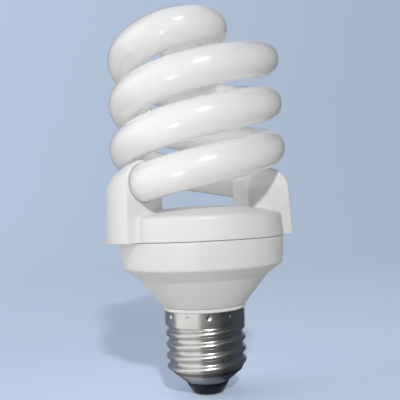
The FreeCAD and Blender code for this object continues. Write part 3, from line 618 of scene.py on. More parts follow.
@dataclass
class SpiralTube:
    """Opal glass tube: two arms of a helix that meet over the top in an S-bend."""

    tube_radius: float = 5.9
    coil_radius: float = 23.4
    taper: float = 0.0226
    pitch: float = 29.16
    foot_height: float = 65.35
    end_angle: float = 15.0
    turn_angle: float = 600.0
    path_points: int = 641
    ring_points: int = 64
    sharp: float = 50.0

    def point(self, angle: float) -> np.ndarray:
        """Finds a point of the right arm's centreline.

        Args:
            angle: Angle of the point round the axis.

        Returns:
            The point, in millimetres.
        """
        rise = self.pitch * angle / 360
        radius = self.coil_radius - self.taper * rise
        turn = math.radians(angle)
        return np.array([radius * math.cos(turn), radius * math.sin(turn), self.foot_height + rise])

    def build(self, material: bpy.types.Material) -> bpy.types.Object:
        """Sweeps a circle along the centreline, which follows one rule from end to end.

        Args:
            material: Material of the glass.

        Returns:
            The tube.
        """
        shape = ShapeTree("opal_spiral_tube", {
            "Tube Radius": self.tube_radius * MM, "Coil Radius": self.coil_radius, "Taper": self.taper,
            "Pitch": self.pitch, "Foot Height": self.foot_height, "End Angle": math.radians(self.end_angle),
            "Turn Angle": math.radians(self.turn_angle), "Path Points": self.path_points,
            "Ring Points": self.ring_points,
        })
        coil, pitch, turn, end = (shape.value(name) for name in ("Coil Radius", "Pitch", "Turn Angle", "End Angle"))
        line = shape.node("GeometryNodeCurvePrimitiveLine")
        path = shape.node("GeometryNodeResampleCurve", Curve=line.outputs[0], Count=shape.value("Path Points"))
        along = Rule(shape.tree, shape.node("GeometryNodeSplineParameter").outputs["Factor"])
        side = (along * -1.0 + 0.5).math("SIGN")
        join_radius = coil - shape.value("Taper") * pitch * turn / (2 * math.pi)
        half = join_radius * 0.5
        coil_length = (turn - end) * (coil + join_radius) * 0.5
        bend_length = half * math.pi
        run = ((along * 2.0 - 1.0).math("ABSOLUTE") * -1.0 + 1.0) * (coil_length + bend_length)
        angle = end + (run / coil_length).clamped() * (turn - end)
        bend = ((run - coil_length) / bend_length).clamped()
        bent = run.math("GREATER_THAN", coil_length)
        rise = pitch * angle / (2 * math.pi)
        radius = coil - shape.value("Taper") * rise
        radius = radius + bent * (half - radius)
        heading = angle + bend * math.pi
        x = bent * half * turn.math("COSINE") + radius * heading.math("COSINE")
        y = bent * half * turn.math("SINE") + radius * heading.math("SINE")
        # The bend starts at the coil's slope and is level where it crosses the axis
        z = shape.value("Foot Height") + rise + pitch * 0.25 * (bend - bend * bend * 0.5)
        placed = shape.node("GeometryNodeSetPosition", Geometry=path.outputs[0],
                            Position=shape.position(x * side, y * side, z))
        ring = shape.node("GeometryNodeCurvePrimitiveCircle", Resolution=shape.value("Ring Points"),
                          Radius=shape.value("Tube Radius"))
        tube = shape.node("GeometryNodeCurveToMesh", Curve=placed.outputs[0], Profile_Curve=ring.outputs[0],
                          Fill_Caps=True)
        thing = shape.piece(tube.outputs[0], material)
        thing.data.set_sharp_from_angle(angle=math.radians(self.sharp))
        return thing


@dataclass
class ScrewCap:
    """Nickel plated screw shell, rolled from sheet, and the black glass foot."""

    rim_height: float = 4.3
    rim_radius: float = 7.3
    cone_rise: float = 0.84
    sheet: float = 0.4
    top: float = 27.75
    crest_radius: float = 13.1
    pitch: float = 3.629
    knuckle: float = 1.025
    root_flat: float = 0.63
    crest_height: float = 16.4
    crest_angle: float = 180.0
    band_height: float = 4.75
    band_radius: float = 13.15
    band_flare: float = 0.8
    dents: int = 12
    dent_radius: float = 0.95
    dent_depth: float = 0.42
    dent_height: float = 26.3
    dent_angle: float = 5.5
    groove_height: float = 8.4
    groove_depth: float = 0.5
    groove_width: float = 0.3
    joint_angle: float = -104.0
    joint_depth: float = 0.16
    joint_width: float = 0.2
    steps: int = 288
    rows: int = 150
    band_blend: float = 0.25
    cone_blend: float = 0.5
    sharp: float = 60.0
    seat_gap: float = 0.05
    foot_radius: float = 5.05
    foot_height: float = 0.4
    foot_round: float = 0.8
    rim_inset: float = 0.05
    rim_round: float = 0.2
    well_round: float = 0.1
    outline_step: float = 0.3
    insulator_steps: int = 144
    insulator_depth: float = 2.0
    contact_radius: float = 4.3
    contact_thickness: float = 0.8
    stem_radius: float = 1.3

    def shell(self, material: bpy.types.Material) -> bpy.types.Object:
        """Rolls a thread, a band of dents and a cone into one sheet.

        Args:
            material: Material of the sheet.

        Returns:
            The shell.
        """
        crest_middle = self.crest_radius - self.knuckle
        root_middle = crest_middle + math.sqrt((2 * self.knuckle) ** 2 - (self.pitch / 2) ** 2)
        core = root_middle - math.sqrt(self.knuckle ** 2 - (self.root_flat / 2) ** 2)
        shape = ShapeTree("rolled_screw_shell", {
            "Steps": self.steps + 1, "Rows": 2 * self.rows + 1, "Low": self.rim_height, "Top": self.top,
            "Pitch": self.pitch, "Knuckle": self.knuckle, "Crest Middle": crest_middle, "Root Middle": root_middle,
            "Root Flat": self.root_flat, "Crest Height": self.crest_height,
            "Crest Angle": math.radians(self.crest_angle), "Band Radius": self.band_radius,
            "Band Foot": self.top - self.band_height, "Band Flare": self.band_flare, "Core": core,
            "Rim Radius": self.rim_radius, "Cone Rise": self.cone_rise, "Sheet": self.sheet, "Dents": self.dents,
            "Dent Radius": self.dent_radius, "Dent Depth": self.dent_depth, "Dent Height": self.dent_height,
            "Dent Angle": math.radians(self.dent_angle), "Groove Height": self.groove_height,
            "Groove Depth": self.groove_depth, "Groove Width": self.groove_width,
            "Joint Angle": math.radians(self.joint_angle), "Joint Depth": self.joint_depth,
            "Joint Width": self.joint_width, "Band Blend": self.band_blend, "Cone Blend": self.cone_blend,
        })
        value = shape.value
        grid = shape.node("GeometryNodeMeshGrid", Vertices_X=value("Steps"), Vertices_Y=value("Rows"))
        flat = shape.node("ShaderNodeSeparateXYZ", Vector=shape.node("GeometryNodeInputPosition").outputs[0])
        turn = (Rule(shape.tree, flat.outputs["X"]) + 0.5) * (2 * math.pi)
        row = ((Rule(shape.tree, flat.outputs["Y"]) + 0.5) * (2.0 * self.rows)).math("ROUND")
        last = self.rows - 1.0
        climb = (row / last).math("MINIMUM", (row * -1.0 + (2 * self.rows - 1.0)) / last).clamped()
        inner = row.math("GREATER_THAN", self.rows - 0.5) * row.math("LESS_THAN", 2 * self.rows - 0.5)
        height = value("Low") + climb * (value("Top") - value("Low"))
        phase = (height - value("Crest Height")) / value("Pitch") - (turn - value("Crest Angle")) / (2 * math.pi)
        off = phase.math("WRAP", 0.5, -0.5).math("ABSOLUTE") * value("Pitch")
        reach = (value("Pitch") * 0.5 - off).math("MAXIMUM", value("Root Flat") * 0.5)
        square = value("Knuckle") * value("Knuckle")
        crest = value("Crest Middle") + (square - off * off).root()
        root = value("Root Middle") - (square - reach * reach).root()
        thread = off.pick(value("Pitch") * 0.25, crest, root)
        flare = ((height - value("Band Foot")) / value("Band Flare") + 1.0).clamped()
        band = value("Core") + flare * (value("Band Radius") - value("Core"))
        cone = value("Rim Radius") + (height - value("Low")) / value("Cone Rise")
        radius = thread.math("SMOOTH_MAX", band, value("Band Blend")).math("SMOOTH_MIN", cone, value("Cone Blend"))
        spacing = value("Dents").math("POWER", -1.0) * (2 * math.pi)
        swing = ((turn - value("Dent Angle")) / spacing).math("WRAP", 0.5, -0.5) * spacing * value("Band Radius")
        drop = height - value("Dent Height")
        dent = ((swing * swing + drop * drop).root() / value("Dent Radius") * -1.0 + 1.0).clamped()
        radius = radius - dent * dent * (dent * -2.0 + 3.0) * value("Dent Depth")
        groove = (height - value("Groove Height")) / value("Groove Width")
        radius = radius - (groove * groove * -1.0).math("EXPONENT") * value("Groove Depth")
        aside = (turn - value("Joint Angle")).math("WRAP", math.pi, -math.pi) * radius / value("Joint Width")
        below = height.math("LESS_THAN", value("Groove Height"))
        radius = radius - below * (aside * aside * -1.0).math("EXPONENT") * value("Joint Depth")
        radius = radius - inner * value("Sheet")
        x, y = radius * turn.math("COSINE"), radius * turn.math("SINE")
        rolled = shape.node("GeometryNodeSetPosition", Geometry=grid.outputs[0], Position=shape.position(x, y, height))
        closed = shape.node("GeometryNodeMergeByDistance", Geometry=rolled.outputs[0], Distance=MERGE_GAP * MM)
        thing = shape.piece(closed.outputs[0], material)
        outwards(thing.data, self.sharp)
        return thing

    def insulator(self) -> bpy.types.Object:
        """Turns the black glass foot, which sits on the shell's rim.

        Returns:
            The insulator.
        """
        bore = self.rim_radius - self.sheet * math.hypot(1, self.cone_rise) / self.cone_rise
        inner = bore - self.seat_gap / self.cone_rise - self.seat_gap
        floor = self.contact_thickness + self.seat_gap
        top = self.rim_height + self.insulator_depth
        well = self.contact_radius + self.seat_gap
        stem = self.stem_radius + self.seat_gap
        surface = Surface()
        surface.turned(rounded([
            Corner(stem, floor), Corner(well, floor), Corner(well, self.foot_height, self.well_round),
            Corner(self.foot_radius, self.foot_height, self.foot_round),
            Corner(self.rim_radius - self.rim_inset, self.rim_height - self.seat_gap, self.rim_round),
            Corner(inner, self.rim_height - self.seat_gap),
            Corner(inner + self.insulator_depth / self.cone_rise, top), Corner(stem, top),
        ], self.outline_step), self.insulator_steps)
        return surface.piece("glass_cap_insulator")


@dataclass
class Casing:
    """White plastic casing: the ballast housing below the seam and the tube's cover above it."""

    tube: SpiralTube = field(default_factory=SpiralTube)
    steps: int = 240
    neck_bore: float = 11.45
    neck_radius: float = 12.65
    neck_foot: float = 23.65
    collar_height: float = 27.85
    collar_radius: float = 13.5
    collar_band: float = 1.1
    groove_width: float = 0.3
    groove_depth: float = 0.35
    cone_foot_radius: float = 13.75
    cone_top_radius: float = 21.2
    cone_top: float = 38.3
    brim_radius: float = 26.3
    brim: float = 42.2
    seam_radius: float = 27.05
    seam: float = 50.6
    seam_gap: float = 0.15
    bore: float = 25.35
    ledge: float = 45.9
    ledge_bore: float = 23.45
    skirt_foot: float = 47.45
    skirt_radius: float = 25.2
    skirt_bore: float = 24.0
    skirt_root: float = 52.95
    cover_bore: float = 25.2
    shoulder_radius: float = 26.5
    shoulder: float = 58.2
    dome: float = 61.45
    wall: float = 1.3
    neck_round: float = 0.3
    collar_round: float = 0.25
    groove_round: float = 0.15
    cone_round: float = 1.6
    brim_round: float = 1.2
    seam_round: float = 0.3
    mouth_round: float = 0.1
    skirt_round: float = 0.2
    shoulder_round: float = 1.5
    ledge_drop: float = 0.5
    cone_wall: float = 1.0
    root_rise: float = 1.2
    dome_points: int = 24

    @property
    def lip(self) -> float:
        """Height of the cover's lower edge, above the gap at the seam."""
        return self.seam + self.seam_gap

    @property
    def ball(self) -> float:
        """Radius of the dome's outside."""
        rise = self.dome - self.shoulder
        return (self.shoulder_radius ** 2 + rise ** 2) / (2 * rise)

    def housing(self) -> bpy.types.Object:
        """Turns the lower half, from the neck inside the cap to the seam.

        Returns:
            The housing.
        """
        groove = self.collar_height + self.collar_band
        foot = groove + self.groove_width
        groove_floor = self.collar_radius - self.groove_depth
        surface = Surface()
        surface.turned(rounded([
            Corner(self.neck_bore, self.neck_foot), Corner(self.neck_radius, self.neck_foot, self.neck_round),
            Corner(self.neck_radius, self.collar_height),
            Corner(self.collar_radius, self.collar_height, self.collar_round),
            Corner(self.collar_radius, groove, self.groove_round), Corner(groove_floor, groove),
            Corner(groove_floor, foot), Corner(self.cone_foot_radius, foot, self.groove_round),
            Corner(self.cone_top_radius, self.cone_top, self.cone_round),
            Corner(self.brim_radius, self.brim, self.brim_round),
            Corner(self.seam_radius, self.seam, self.seam_round), Corner(self.bore, self.seam, self.mouth_round),
            Corner(self.bore, self.ledge), Corner(self.ledge_bore, self.ledge),
            Corner(self.ledge_bore, self.brim - self.ledge_drop),
            Corner(self.cone_top_radius - self.cone_wall, self.cone_top + self.cone_wall),
            Corner(self.neck_bore, self.collar_height + self.cone_wall),
        ]), self.steps)
        return surface.piece("moulded_ballast_housing")

    def dome_height(self, radius: float) -> float:
        """Height of the dome's outside at a radius."""
        return self.dome - self.ball + math.sqrt(self.ball ** 2 - radius ** 2)

    def cover(self, socket: "Socket") -> bpy.types.Object:
        """Turns the upper half and sets its two sockets on it.

        Args:
            socket: Form of a socket.

        Returns:
            The cover.
        """
        surface = Surface()
        self.cover_ring(surface)
        socket.add_to(surface, half_turn=False)
        socket.add_to(surface, half_turn=True)
        return surface.piece("moulded_tube_cover")

    def cover_ring(self, surface: Surface) -> None:
        """Adds the cover's turned wall: skirt, lip, side, shoulder and dome.

        Args:
            surface: The cover's surface.
        """
        outside = np.linspace(self.shoulder_radius, 0, self.dome_points)
        inside = np.linspace(0, self.cover_bore, self.dome_points)
        corners = [Corner(self.skirt_bore, self.skirt_foot),
                   Corner(self.skirt_radius, self.skirt_foot, self.skirt_round),
                   Corner(self.skirt_radius, self.lip), Corner(self.seam_radius, self.lip, self.seam_round),
                   Corner(self.shoulder_radius, self.shoulder, self.shoulder_round)]
        corners += [Corner(radius, self.dome_height(radius)) for radius in outside[1:]]
        corners += [Corner(radius, self.dome_height(radius) - self.wall) for radius in inside]
        corners += [Corner(self.cover_bore, self.skirt_root + self.root_rise),
                    Corner(self.skirt_bore, self.skirt_root)]
        surface.turned(rounded(corners), self.steps)


@dataclass
class Socket:
    """Socket of the cover, which holds one end of the tube: an arched wall that follows the coil."""

    casing: Casing
    back_angle: float = 5.0
    mouth_angle: float = 44.5
    half: float = 7.2
    splay: float = 0.7
    bore_radius: float = 5.97
    bore_round: float = 0.12
    end_wall: float = 1.4
    edge_round: float = 0.9
    fillet: float = 1.3
    blend: float = 1.75
    arch_points: int = 49
    wall_points: int = 22
    foot_points: int = 12
    loops: int = 44
    round_loops: int = 6
    rings: int = 30

    @property
    def degree(self) -> float:
        """Length of one degree along the coil."""
        return self.casing.tube.coil_radius * math.radians(1)

    def foot(self, angle: float, inner: float, outer: float) -> tuple[np.ndarray, np.ndarray]:
        """Line of the socket's foot from outside to inside, along the lip and then within the cover's wall.

        Args:
            angle: Angle of the section's plane.
            inner: Offset of the inner wall from the tube's centre.
            outer: Offset of the outer wall's foot from the tube's centre.

        Returns:
            Outward and upward offsets from the tube's centre.
        """
        casing = self.casing
        middle = casing.tube.point(angle)
        radius = math.hypot(middle[0], middle[1])
        low = casing.lip - middle[2]
        turn = casing.shoulder_radius - casing.wall / 2 - radius
        inside = np.linspace(turn / 2, inner, self.foot_points + 1)
        under = np.array([casing.dome_height(radius + out) - casing.wall / 2 - middle[2] for out in inside])
        share = np.linspace(0, 1, self.foot_points + 1)[1:-1]
        out = np.concatenate([np.linspace(outer, turn, self.foot_points)[1:], turn + (inside[0] - turn) * share,
                              inside[:-1]])
        up = np.concatenate([np.full(self.foot_points - 1, low), low + (under[0] - low) * share, under[:-1]])
        return np.append(out, inner), np.append(up, under[-1])

    def section(self, angle: float, inset: float) -> tuple[np.ndarray, np.ndarray]:
        """Closed section of the socket in the upright plane at an angle of the coil.

        Args:
            angle: Angle of the plane.
            inset: Distance that the walls are moved inwards.

        Returns:
            Offsets outwards and upwards from the tube's centre, and the outward normal at each point.
        """
        half = self.half - inset
        depth = self.casing.tube.point(angle)[2] - self.casing.lip
        arch = np.linspace(math.pi, 0, self.arch_points)
        share = np.linspace(0, 1, self.wall_points + 1)[1:]
        foot_out, foot_up = self.foot(angle, -half, half + self.splay)
        back = np.linspace(foot_up[-1], 0, self.wall_points + 1)[1:-1]
        out = np.concatenate([half * np.cos(arch), half + self.splay * share, foot_out, np.full(back.size, -half)])
        up = np.concatenate([half * np.sin(arch), -depth * share, foot_up, back])
        face_out = np.concatenate([np.cos(arch), np.ones(share.size), np.zeros(foot_out.size), -np.ones(back.size)])
        face_up = np.concatenate([np.sin(arch), np.zeros(up.size - arch.size)])
        return np.stack([out, up], axis=1), np.stack([face_out, face_up], axis=1)

    def placed(self, angle: float, offsets: np.ndarray, centred: bool = True) -> np.ndarray:
        """Points or directions of the lamp from offsets in the plane at an angle.

        Args:
            angle: Angle of the plane.
            offsets: Offsets outwards and upwards.
            centred: True for points about the tube's centre, False for directions.

        Returns:
            Points or directions.
        """
        turn = math.radians(angle)
        out, up = np.array([math.cos(turn), math.sin(turn), 0.0]), np.array([0.0, 0.0, 1.0])
        start = self.casing.tube.point(angle) if centred else np.zeros(3)
        return start + offsets[:, :1] * out + offsets[:, 1:] * up

    def wall_gap(self, points: np.ndarray) -> np.ndarray:
        """Measures how far points are from the cover's turned wall.

        Args:
            points: Points of the lamp.

        Returns:
            Distance of each point, below zero inside the wall.
        """
        casing = self.casing
        radius = np.hypot(points[:, 0], points[:, 1])
        over = np.hypot(radius, points[:, 2] - (casing.dome - casing.ball)) - casing.ball
        share = np.clip((points[:, 2] - casing.lip) / (casing.shoulder - casing.lip), 0, 1)
        beside = radius - (casing.seam_radius + (casing.shoulder_radius - casing.seam_radius) * share)
        weight = np.clip(0.5 + 0.5 * (over - beside) / self.blend, 0, 1)
        return beside + (over - beside) * weight + self.blend * weight * (1 - weight)

    def flared(self, points: np.ndarray, normals: np.ndarray) -> np.ndarray:
        """Moves points along their normals near the turned wall, so that a fillet joins the two.

        Args:
            points: Points of the socket.
            normals: Outward normal at each point.

        Returns:
            The moved points.
        """
        gap = np.clip(self.wall_gap(points), 0, self.fillet)
        move = self.fillet - np.sqrt(self.fillet ** 2 - (self.fillet - gap) ** 2)
        return points + normals * move[:, None]

    def stations(self) -> list[tuple[float, float, float]]:
        """Spaces the loops of the socket from its closed back to its mouth.

        Returns:
            Angle, inset and lean of each loop, with the lean in degrees.
        """
        leans = np.linspace(90, 0, self.round_loops + 1)
        ends = [((1 - math.sin(math.radians(lean))) * self.edge_round / self.degree,
                 (1 - math.cos(math.radians(lean))) * self.edge_round, lean) for lean in leans]
        run = np.linspace(self.back_angle + ends[-1][0], self.mouth_angle - ends[-1][0], self.loops + 1)[1:-1]
        back = [(self.back_angle + shift, inset, -lean) for shift, inset, lean in ends]
        mouth = [(self.mouth_angle - shift, inset, lean) for shift, inset, lean in ends[::-1]]
        return back + [(angle, 0.0, 0.0) for angle in run] + mouth

    def loop(self, angle: float, offsets: np.ndarray, faces: np.ndarray, lean: float) -> np.ndarray:
        """Points of one loop, flared where it nears the turned wall.

        Args:
            angle: Angle of the loop's plane.
            offsets: Offsets outwards and upwards from the tube's centre.
            faces: Outward normals in the plane.
            lean: Angle by which the normals lean out of the plane, along the coil.

        Returns:
            Points of the loop.
        """
        turn, tilt = math.radians(angle), math.radians(lean)
        along = np.array([-math.sin(turn), math.cos(turn), 0.0])
        normals = self.placed(angle, faces, centred=False) * math.cos(tilt) + along * math.sin(tilt)
        return self.flared(self.placed(angle, offsets), normals)

    def bore(self, offsets: np.ndarray) -> np.ndarray:
        """Makes a section of the tube's bore.

        Args:
            offsets: Outline of a section of the socket.

        Returns:
            One point of the bore for each point of the outline, as offsets outwards and upwards.
        """
        tube = self.casing.tube
        slope = math.atan2(tube.pitch, 2 * math.pi * tube.coil_radius)
        turn = np.arctan2(offsets[:, 1], offsets[:, 0])
        return np.stack([self.bore_radius * np.cos(turn), self.bore_radius / math.cos(slope) * np.sin(turn)], axis=1)

    def add_to(self, surface: Surface, half_turn: bool) -> None:
        """Adds the socket as a closed shell with a blind bore.

        Args:
            surface: The cover's surface.
            half_turn: True for the socket on the other side, turned half way round.
        """
        stations = self.stations()
        shares = np.linspace(0, 1, self.rings + 1)[1:, None, None]
        first, first_faces = self.section(*stations[0][:2])
        last, last_faces = self.section(*stations[-1][:2])
        bore = self.bore(last)
        floor_angle = self.back_angle + self.end_wall / self.degree
        rows = [self.loop(self.back_angle, first * 0, first_faces, -90)]
        rows += [self.loop(self.back_angle, offsets, first_faces, -90) for offsets in first * shares[:-1]]
        rows += [self.loop(angle, *self.section(angle, inset), lean) for angle, inset, lean in stations]
        rim = bore * (1 + self.bore_round / self.bore_radius)
        rows += [self.loop(self.mouth_angle, offsets, last_faces, 90) for offsets in last + (rim - last) * shares]
        for lean in np.radians(np.linspace(0, 90, self.round_loops + 1))[1:]:
            angle = self.mouth_angle - (1 - math.cos(lean)) * self.bore_round / self.degree
            rows.append(self.placed(angle, rim + (bore - rim) * math.sin(lean)))
        throat = self.mouth_angle - 2 * self.bore_round / self.degree
        rows += [self.placed(angle, bore) for angle in np.linspace(throat, floor_angle, self.loops)]
        rows.append(self.placed(floor_angle, bore * 0))
        grid = np.array(rows)
        surface.grid(grid * np.array([-1, -1, 1]) if half_turn else grid, wrap_columns=True)


@dataclass
class Electronics:
    """Solids that keep their own shape: contact, board, its parts, leads and cement."""

    finishes: dict[Finish, tuple[str, ...]] = field(default_factory=lambda: {
        TINNED: ("centre_contact", "wrap_pins", "contact_lead", "shell_lead", "filament_leads_right",
                 "filament_leads_left"),
        CEMENT: ("socket_cement_right", "socket_cement_left"),
        LAMINATE: ("circuit_board",),
        BLACK_PLASTIC: ("reservoir_capacitor", "choke_bobbin", "transistor_1", "transistor_2", "rectifier_diodes"),
        FILM_LACQUER: ("resonant_capacitor", "blocking_capacitor", "filter_capacitor"),
        FERRITE: ("choke_core", "toroid_core"),
        COPPER: ("choke_winding", "toroid_windings"),
        LACQUER: ("resistors", "fuse_resistor"),
        RED_GLASS: ("trigger_diode",),
    })

    def dress(self, effects: Effects) -> None:
        """Gives each solid its material.

        Args:
            effects: The shared node groups.
        """
        for finish, nodes in self.finishes.items():
            material = finish.material(effects)
            for node in nodes:
                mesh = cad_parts[node].data
                mesh.materials.clear()
                mesh.materials.append(material)
                LOG.info("%s: %s", node, finish.name)


@dataclass(frozen=True)
class Softbox:
    """Rectangular studio light, aimed at a point of the lamp's axis.

    Azimuth and elevation are in degrees as seen from the aimed point, with azimuth counted from the viewer to the
    right. Lengths are in metres and power is in watts.
    """

    name: str
    azimuth: float
    elevation: float
    distance: float
    aim_height: float
    size: tuple[float, float]
    power: float
    spread: float = 180.0

    def build(self) -> None:
        """Makes the light."""
        light = bpy.data.lights.new(self.name, "AREA")
        light.shape = "RECTANGLE"
        light.size, light.size_y = self.size
        light.energy = self.power
        light.spread = math.radians(self.spread)
        turn, tilt = math.radians(self.azimuth), math.radians(self.elevation)
        away = Vector((math.sin(turn) * math.cos(tilt), -math.cos(turn) * math.cos(tilt), math.sin(tilt)))
        thing = add_object(self.name, light)
        thing.location = away * self.distance + Vector((0, 0, self.aim_height))
        thing.rotation_euler = (-away).to_track_quat("-Z", "Y").to_euler()
        LOG.info("%s: %.4f W", self.name, self.power)


def stage_sheet(name: str, rows: np.ndarray, material: bpy.types.Material) -> bpy.types.Object:
    """Makes a stage surface.

    Args:
        name: Name of the surface.
        rows: Grid of its points in metres.
        material: Material of the surface.

    Returns:
        The surface.
    """
    surface = Surface()
    surface.grid(rows / MM)
    thing = surface.piece(name)
    material.cycles.emission_sampling = "NONE"
    thing.data.materials.append(material)
    return thing


@dataclass(frozen=True)
class Card:
    """Card that only polished surfaces show, laid on the floor round the lamp and bent up at its far end.

    The span is its first and last azimuth in degrees, from the viewer to the right. Lengths are in metres, and a card
    with no height lies flat.
    """

    name: str
    span: tuple[float, float]
    start: float
    glow: Colour
    reach: float = 0.19
    level: float = 0.0003
    height: float = 0.45
    cloth: Colour = (0.02, 0.02, 0.025)
    steps: int = 33

    def build(self) -> None:
        """Makes the card."""
        cloth = bpy.data.materials.new(self.name)
        cloth.use_nodes = True
        feed(cloth.node_tree, cloth.node_tree.nodes["Principled BSDF"], {
            "Base Color": (*self.cloth, 1.0), "Specular IOR Level": 0.0, "Emission Color": (*self.glow, 1.0),
            "Emission Strength": 1.0,
        })
        turns = np.radians(np.linspace(*self.span, self.steps))
        profile = [(self.start, self.level), (self.reach, self.level)]
        if self.height > self.level:
            profile.append((self.reach, self.height))
        rows = [np.stack([reach * np.sin(turns), -reach * np.cos(turns), np.full(turns.size, height)], axis=1)
                for reach, height in profile]
        thing = stage_sheet(self.name, np.array(rows), cloth)
        thing.visible_camera = thing.visible_diffuse = thing.visible_shadow = False


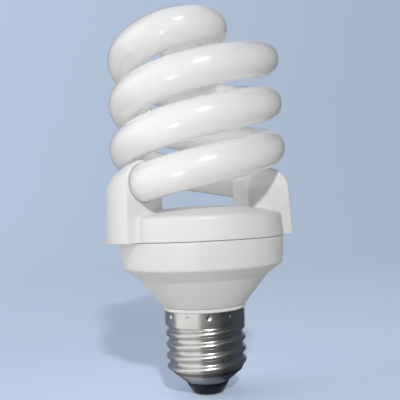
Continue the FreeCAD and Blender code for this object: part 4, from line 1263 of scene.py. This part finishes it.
@dataclass
class Studio:
    """Floor and backdrop in one sweep, cards for the metal to mirror, lights, world and camera.

    The sensor's width is in millimetres, and the core glow is a light in the middle of the coil.
    """

    paper: Colour = (0.62, 0.76, 0.96)
    paper_lift: float = 0.2
    paper_roughness: float = 0.9
    paper_gloss: float = 0.1
    bounce: Colour = (0.86, 0.86, 0.86)
    world_fill: float = 0.155
    sweep_front: float = 1.6
    sweep_back: float = 0.9
    sweep_width: float = 3.2
    sweep_round: float = 0.5
    sweep_height: float = 1.4
    sweep_points: int = 25
    core_power: float = 0.0042
    core_radius: float = 0.008
    core_height: float = 0.089
    camera_distance: float = 0.2028
    camera_height: float = 0.0587
    yaw: float = 0.04
    pitch: float = 1.30
    roll: float = -2.68
    focal_pixels: float = 610.8
    image_pixels: int = 400
    sensor: float = 36.0
    clip_start: float = 0.01
    cards: tuple[Card, ...] = (
        Card("near_card", (-88.0, -15.0), 0.0076, (0.55, 0.55, 0.545), reach=0.04, height=0.0),
        Card("white_card", (-88.0, -15.0), 0.04, (0.95, 0.95, 0.94)),
        Card("upper_card", (-15.0, 22.0), 0.191, (0.95, 0.95, 0.94), reach=0.194, level=0.055, height=0.13),
        Card("grey_flag", (-15.0, 2.0), 0.0072, (0.2, 0.2, 0.2), height=0.055),
        Card("dim_flag", (2.0, 22.0), 0.0072, (0.14, 0.14, 0.145), height=0.055),
        Card("slate_flag", (22.0, 38.0), 0.0072, (0.09, 0.09, 0.10)),
        Card("dark_flag", (38.0, 80.0), 0.0072, (0.03, 0.033, 0.04)),
        Card("blue_flag", (80.0, 150.0), 0.0072, (0.05, 0.062, 0.085)),
        Card("dusk_card", (-180.0, -88.0), 0.0076, (0.14, 0.165, 0.215)),
    )
    lamps: tuple[Softbox, ...] = (
        Softbox("high_lamp", 9.0, 30.5, 0.85, 0.08, (0.055, 0.044), 3.5),
        Softbox("low_lamp", -20.0, -26.0, 0.185, 0.098, (0.011, 0.008), 0.0026, spread=46.0),
        Softbox("left_lamp", -96.0, 10.0, 1.4, 0.07, (1.87, 1.5), 16.0),
    )

    @staticmethod
    def seen(tree: bpy.types.NodeTree) -> bpy.types.NodeSocket:
        """Masks the rays that show a background: from the camera, a mirror or clear glass.

        Args:
            tree: Tree of a material or of the world.

        Returns:
            The mask, 1 for those rays and 0 for others.
        """
        rays = add_node(tree, "ShaderNodeLightPath", {})
        mask = rays.outputs["Is Camera Ray"]
        for kind in ("Is Glossy Ray", "Is Transmission Ray"):
            both = add_node(tree, "ShaderNodeMath", {0: mask, 1: rays.outputs[kind]}, operation="MAXIMUM")
            mask = both.outputs[0]
        return mask

    def backdrop(self) -> None:
        """Makes the floor, which rises behind the lamp in one curve, and the cards."""
        paper = bpy.data.materials.new("backdrop_paper")
        paper.use_nodes = True
        tree = paper.node_tree
        mask = self.seen(tree)
        tint = add_node(tree, "ShaderNodeMix", {
            "Factor": mask, "A": (*self.bounce, 1.0), "B": (*self.paper, 1.0),
        }, data_type="RGBA")
        lift = add_node(tree, "ShaderNodeMath", {0: mask, 1: self.paper_lift}, operation="MULTIPLY")
        feed(tree, tree.nodes["Principled BSDF"], {
            "Base Color": tint.outputs["Result"], "Roughness": self.paper_roughness,
            "Specular IOR Level": self.paper_gloss, "Emission Color": (*self.paper, 1.0),
            "Emission Strength": lift.outputs[0],
        })
        turns = np.radians(np.linspace(0, 90, self.sweep_points))
        depth = self.sweep_back - self.sweep_round * (1 - np.sin(turns))
        rise = self.sweep_round * (1 - np.cos(turns))
        line = np.stack([np.concatenate([[-self.sweep_front], depth, [self.sweep_back]]),
                         np.concatenate([[0.0], rise, [self.sweep_height]])], axis=1)
        sides = [np.insert(line, 0, side * self.sweep_width / 2, axis=1) for side in (-1, 1)]
        stage_sheet("paper_sweep", np.array(sides), paper)
        for card in self.cards:
            card.build()

    def light(self) -> None:
        """Sets the world and the lights."""
        world = bpy.data.worlds.new("studio")
        bpy.context.scene.world = world
        world.use_nodes = True
        tree = world.node_tree
        fill = tree.nodes["Background"]
        feed(tree, fill, {"Color": (1.0, 1.0, 1.0, 1.0), "Strength": self.world_fill})
        seen = add_node(tree, "ShaderNodeBackground", {"Color": (*self.paper, 1.0)})
        both = add_node(tree, "ShaderNodeMixShader", {0: self.seen(tree), 1: fill.outputs[0], 2: seen.outputs[0]})
        feed(tree, tree.nodes["World Output"], {"Surface": both.outputs[0]})
        for lamp in self.lamps:
            lamp.build()
        self.core_glow()

    def core_glow(self) -> None:
        """Puts the light that an opal tube passes inwards into the coil's core."""
        light = bpy.data.lights.new("core_glow", "POINT")
        light.energy, light.shadow_soft_size = self.core_power, self.core_radius
        thing = add_object("core_glow", light)
        thing.location = (0.0, 0.0, self.core_height)
        thing.visible_camera = thing.visible_glossy = False

    def camera(self) -> None:
        """Sets the camera at the photograph's viewpoint."""
        yaw, pitch, roll = (math.radians(angle) for angle in (self.yaw, self.pitch, self.roll))
        ahead = Vector((math.sin(yaw) * math.cos(pitch), math.cos(yaw) * math.cos(pitch), math.sin(pitch)))
        level = Vector((math.cos(yaw), -math.sin(yaw), 0.0))
        upright = level.cross(ahead)
        right = math.cos(roll) * level + math.sin(roll) * upright
        up = math.cos(roll) * upright - math.sin(roll) * level
        turn = Matrix((right, up, -ahead)).transposed()
        lens = bpy.data.cameras.new("camera")
        lens.sensor_width = self.sensor
        lens.lens = self.focal_pixels / self.image_pixels * self.sensor
        lens.clip_start = self.clip_start
        thing = add_object("camera", lens)
        thing.matrix_world = Matrix.Translation((0.0, -self.camera_distance, self.camera_height)) @ turn.to_4x4()
        bpy.context.scene.camera = thing

    def build(self) -> None:
        """Sets up the whole studio."""
        self.backdrop()
        self.light()
        self.camera()
        bpy.context.scene.view_settings.view_transform = "Standard"


def main() -> None:
    """Builds the lamp from its classes, then the studio."""
    logging.basicConfig(level=logging.INFO, format="%(name)s %(message)s")
    effects = Effects()
    glass, plastic, nickel, black = (finish.material(effects) for finish in
                                     (OPAL_GLASS, WHITE_PLASTIC, NICKEL, BLACK_GLASS))
    tube, cap = SpiralTube(), ScrewCap()
    casing = Casing(tube)
    settle(tube.build(glass), "spiral_tube", glass)
    settle(cap.shell(nickel), "screw_shell", nickel)
    settle(cap.insulator(), "cap_insulator", black)
    settle(casing.housing(), "ballast_housing", plastic)
    settle(casing.cover(Socket(casing)), "tube_cover", plastic)
    Electronics().dress(effects)
    Studio().build()


if __name__ == "__main__":
    main()
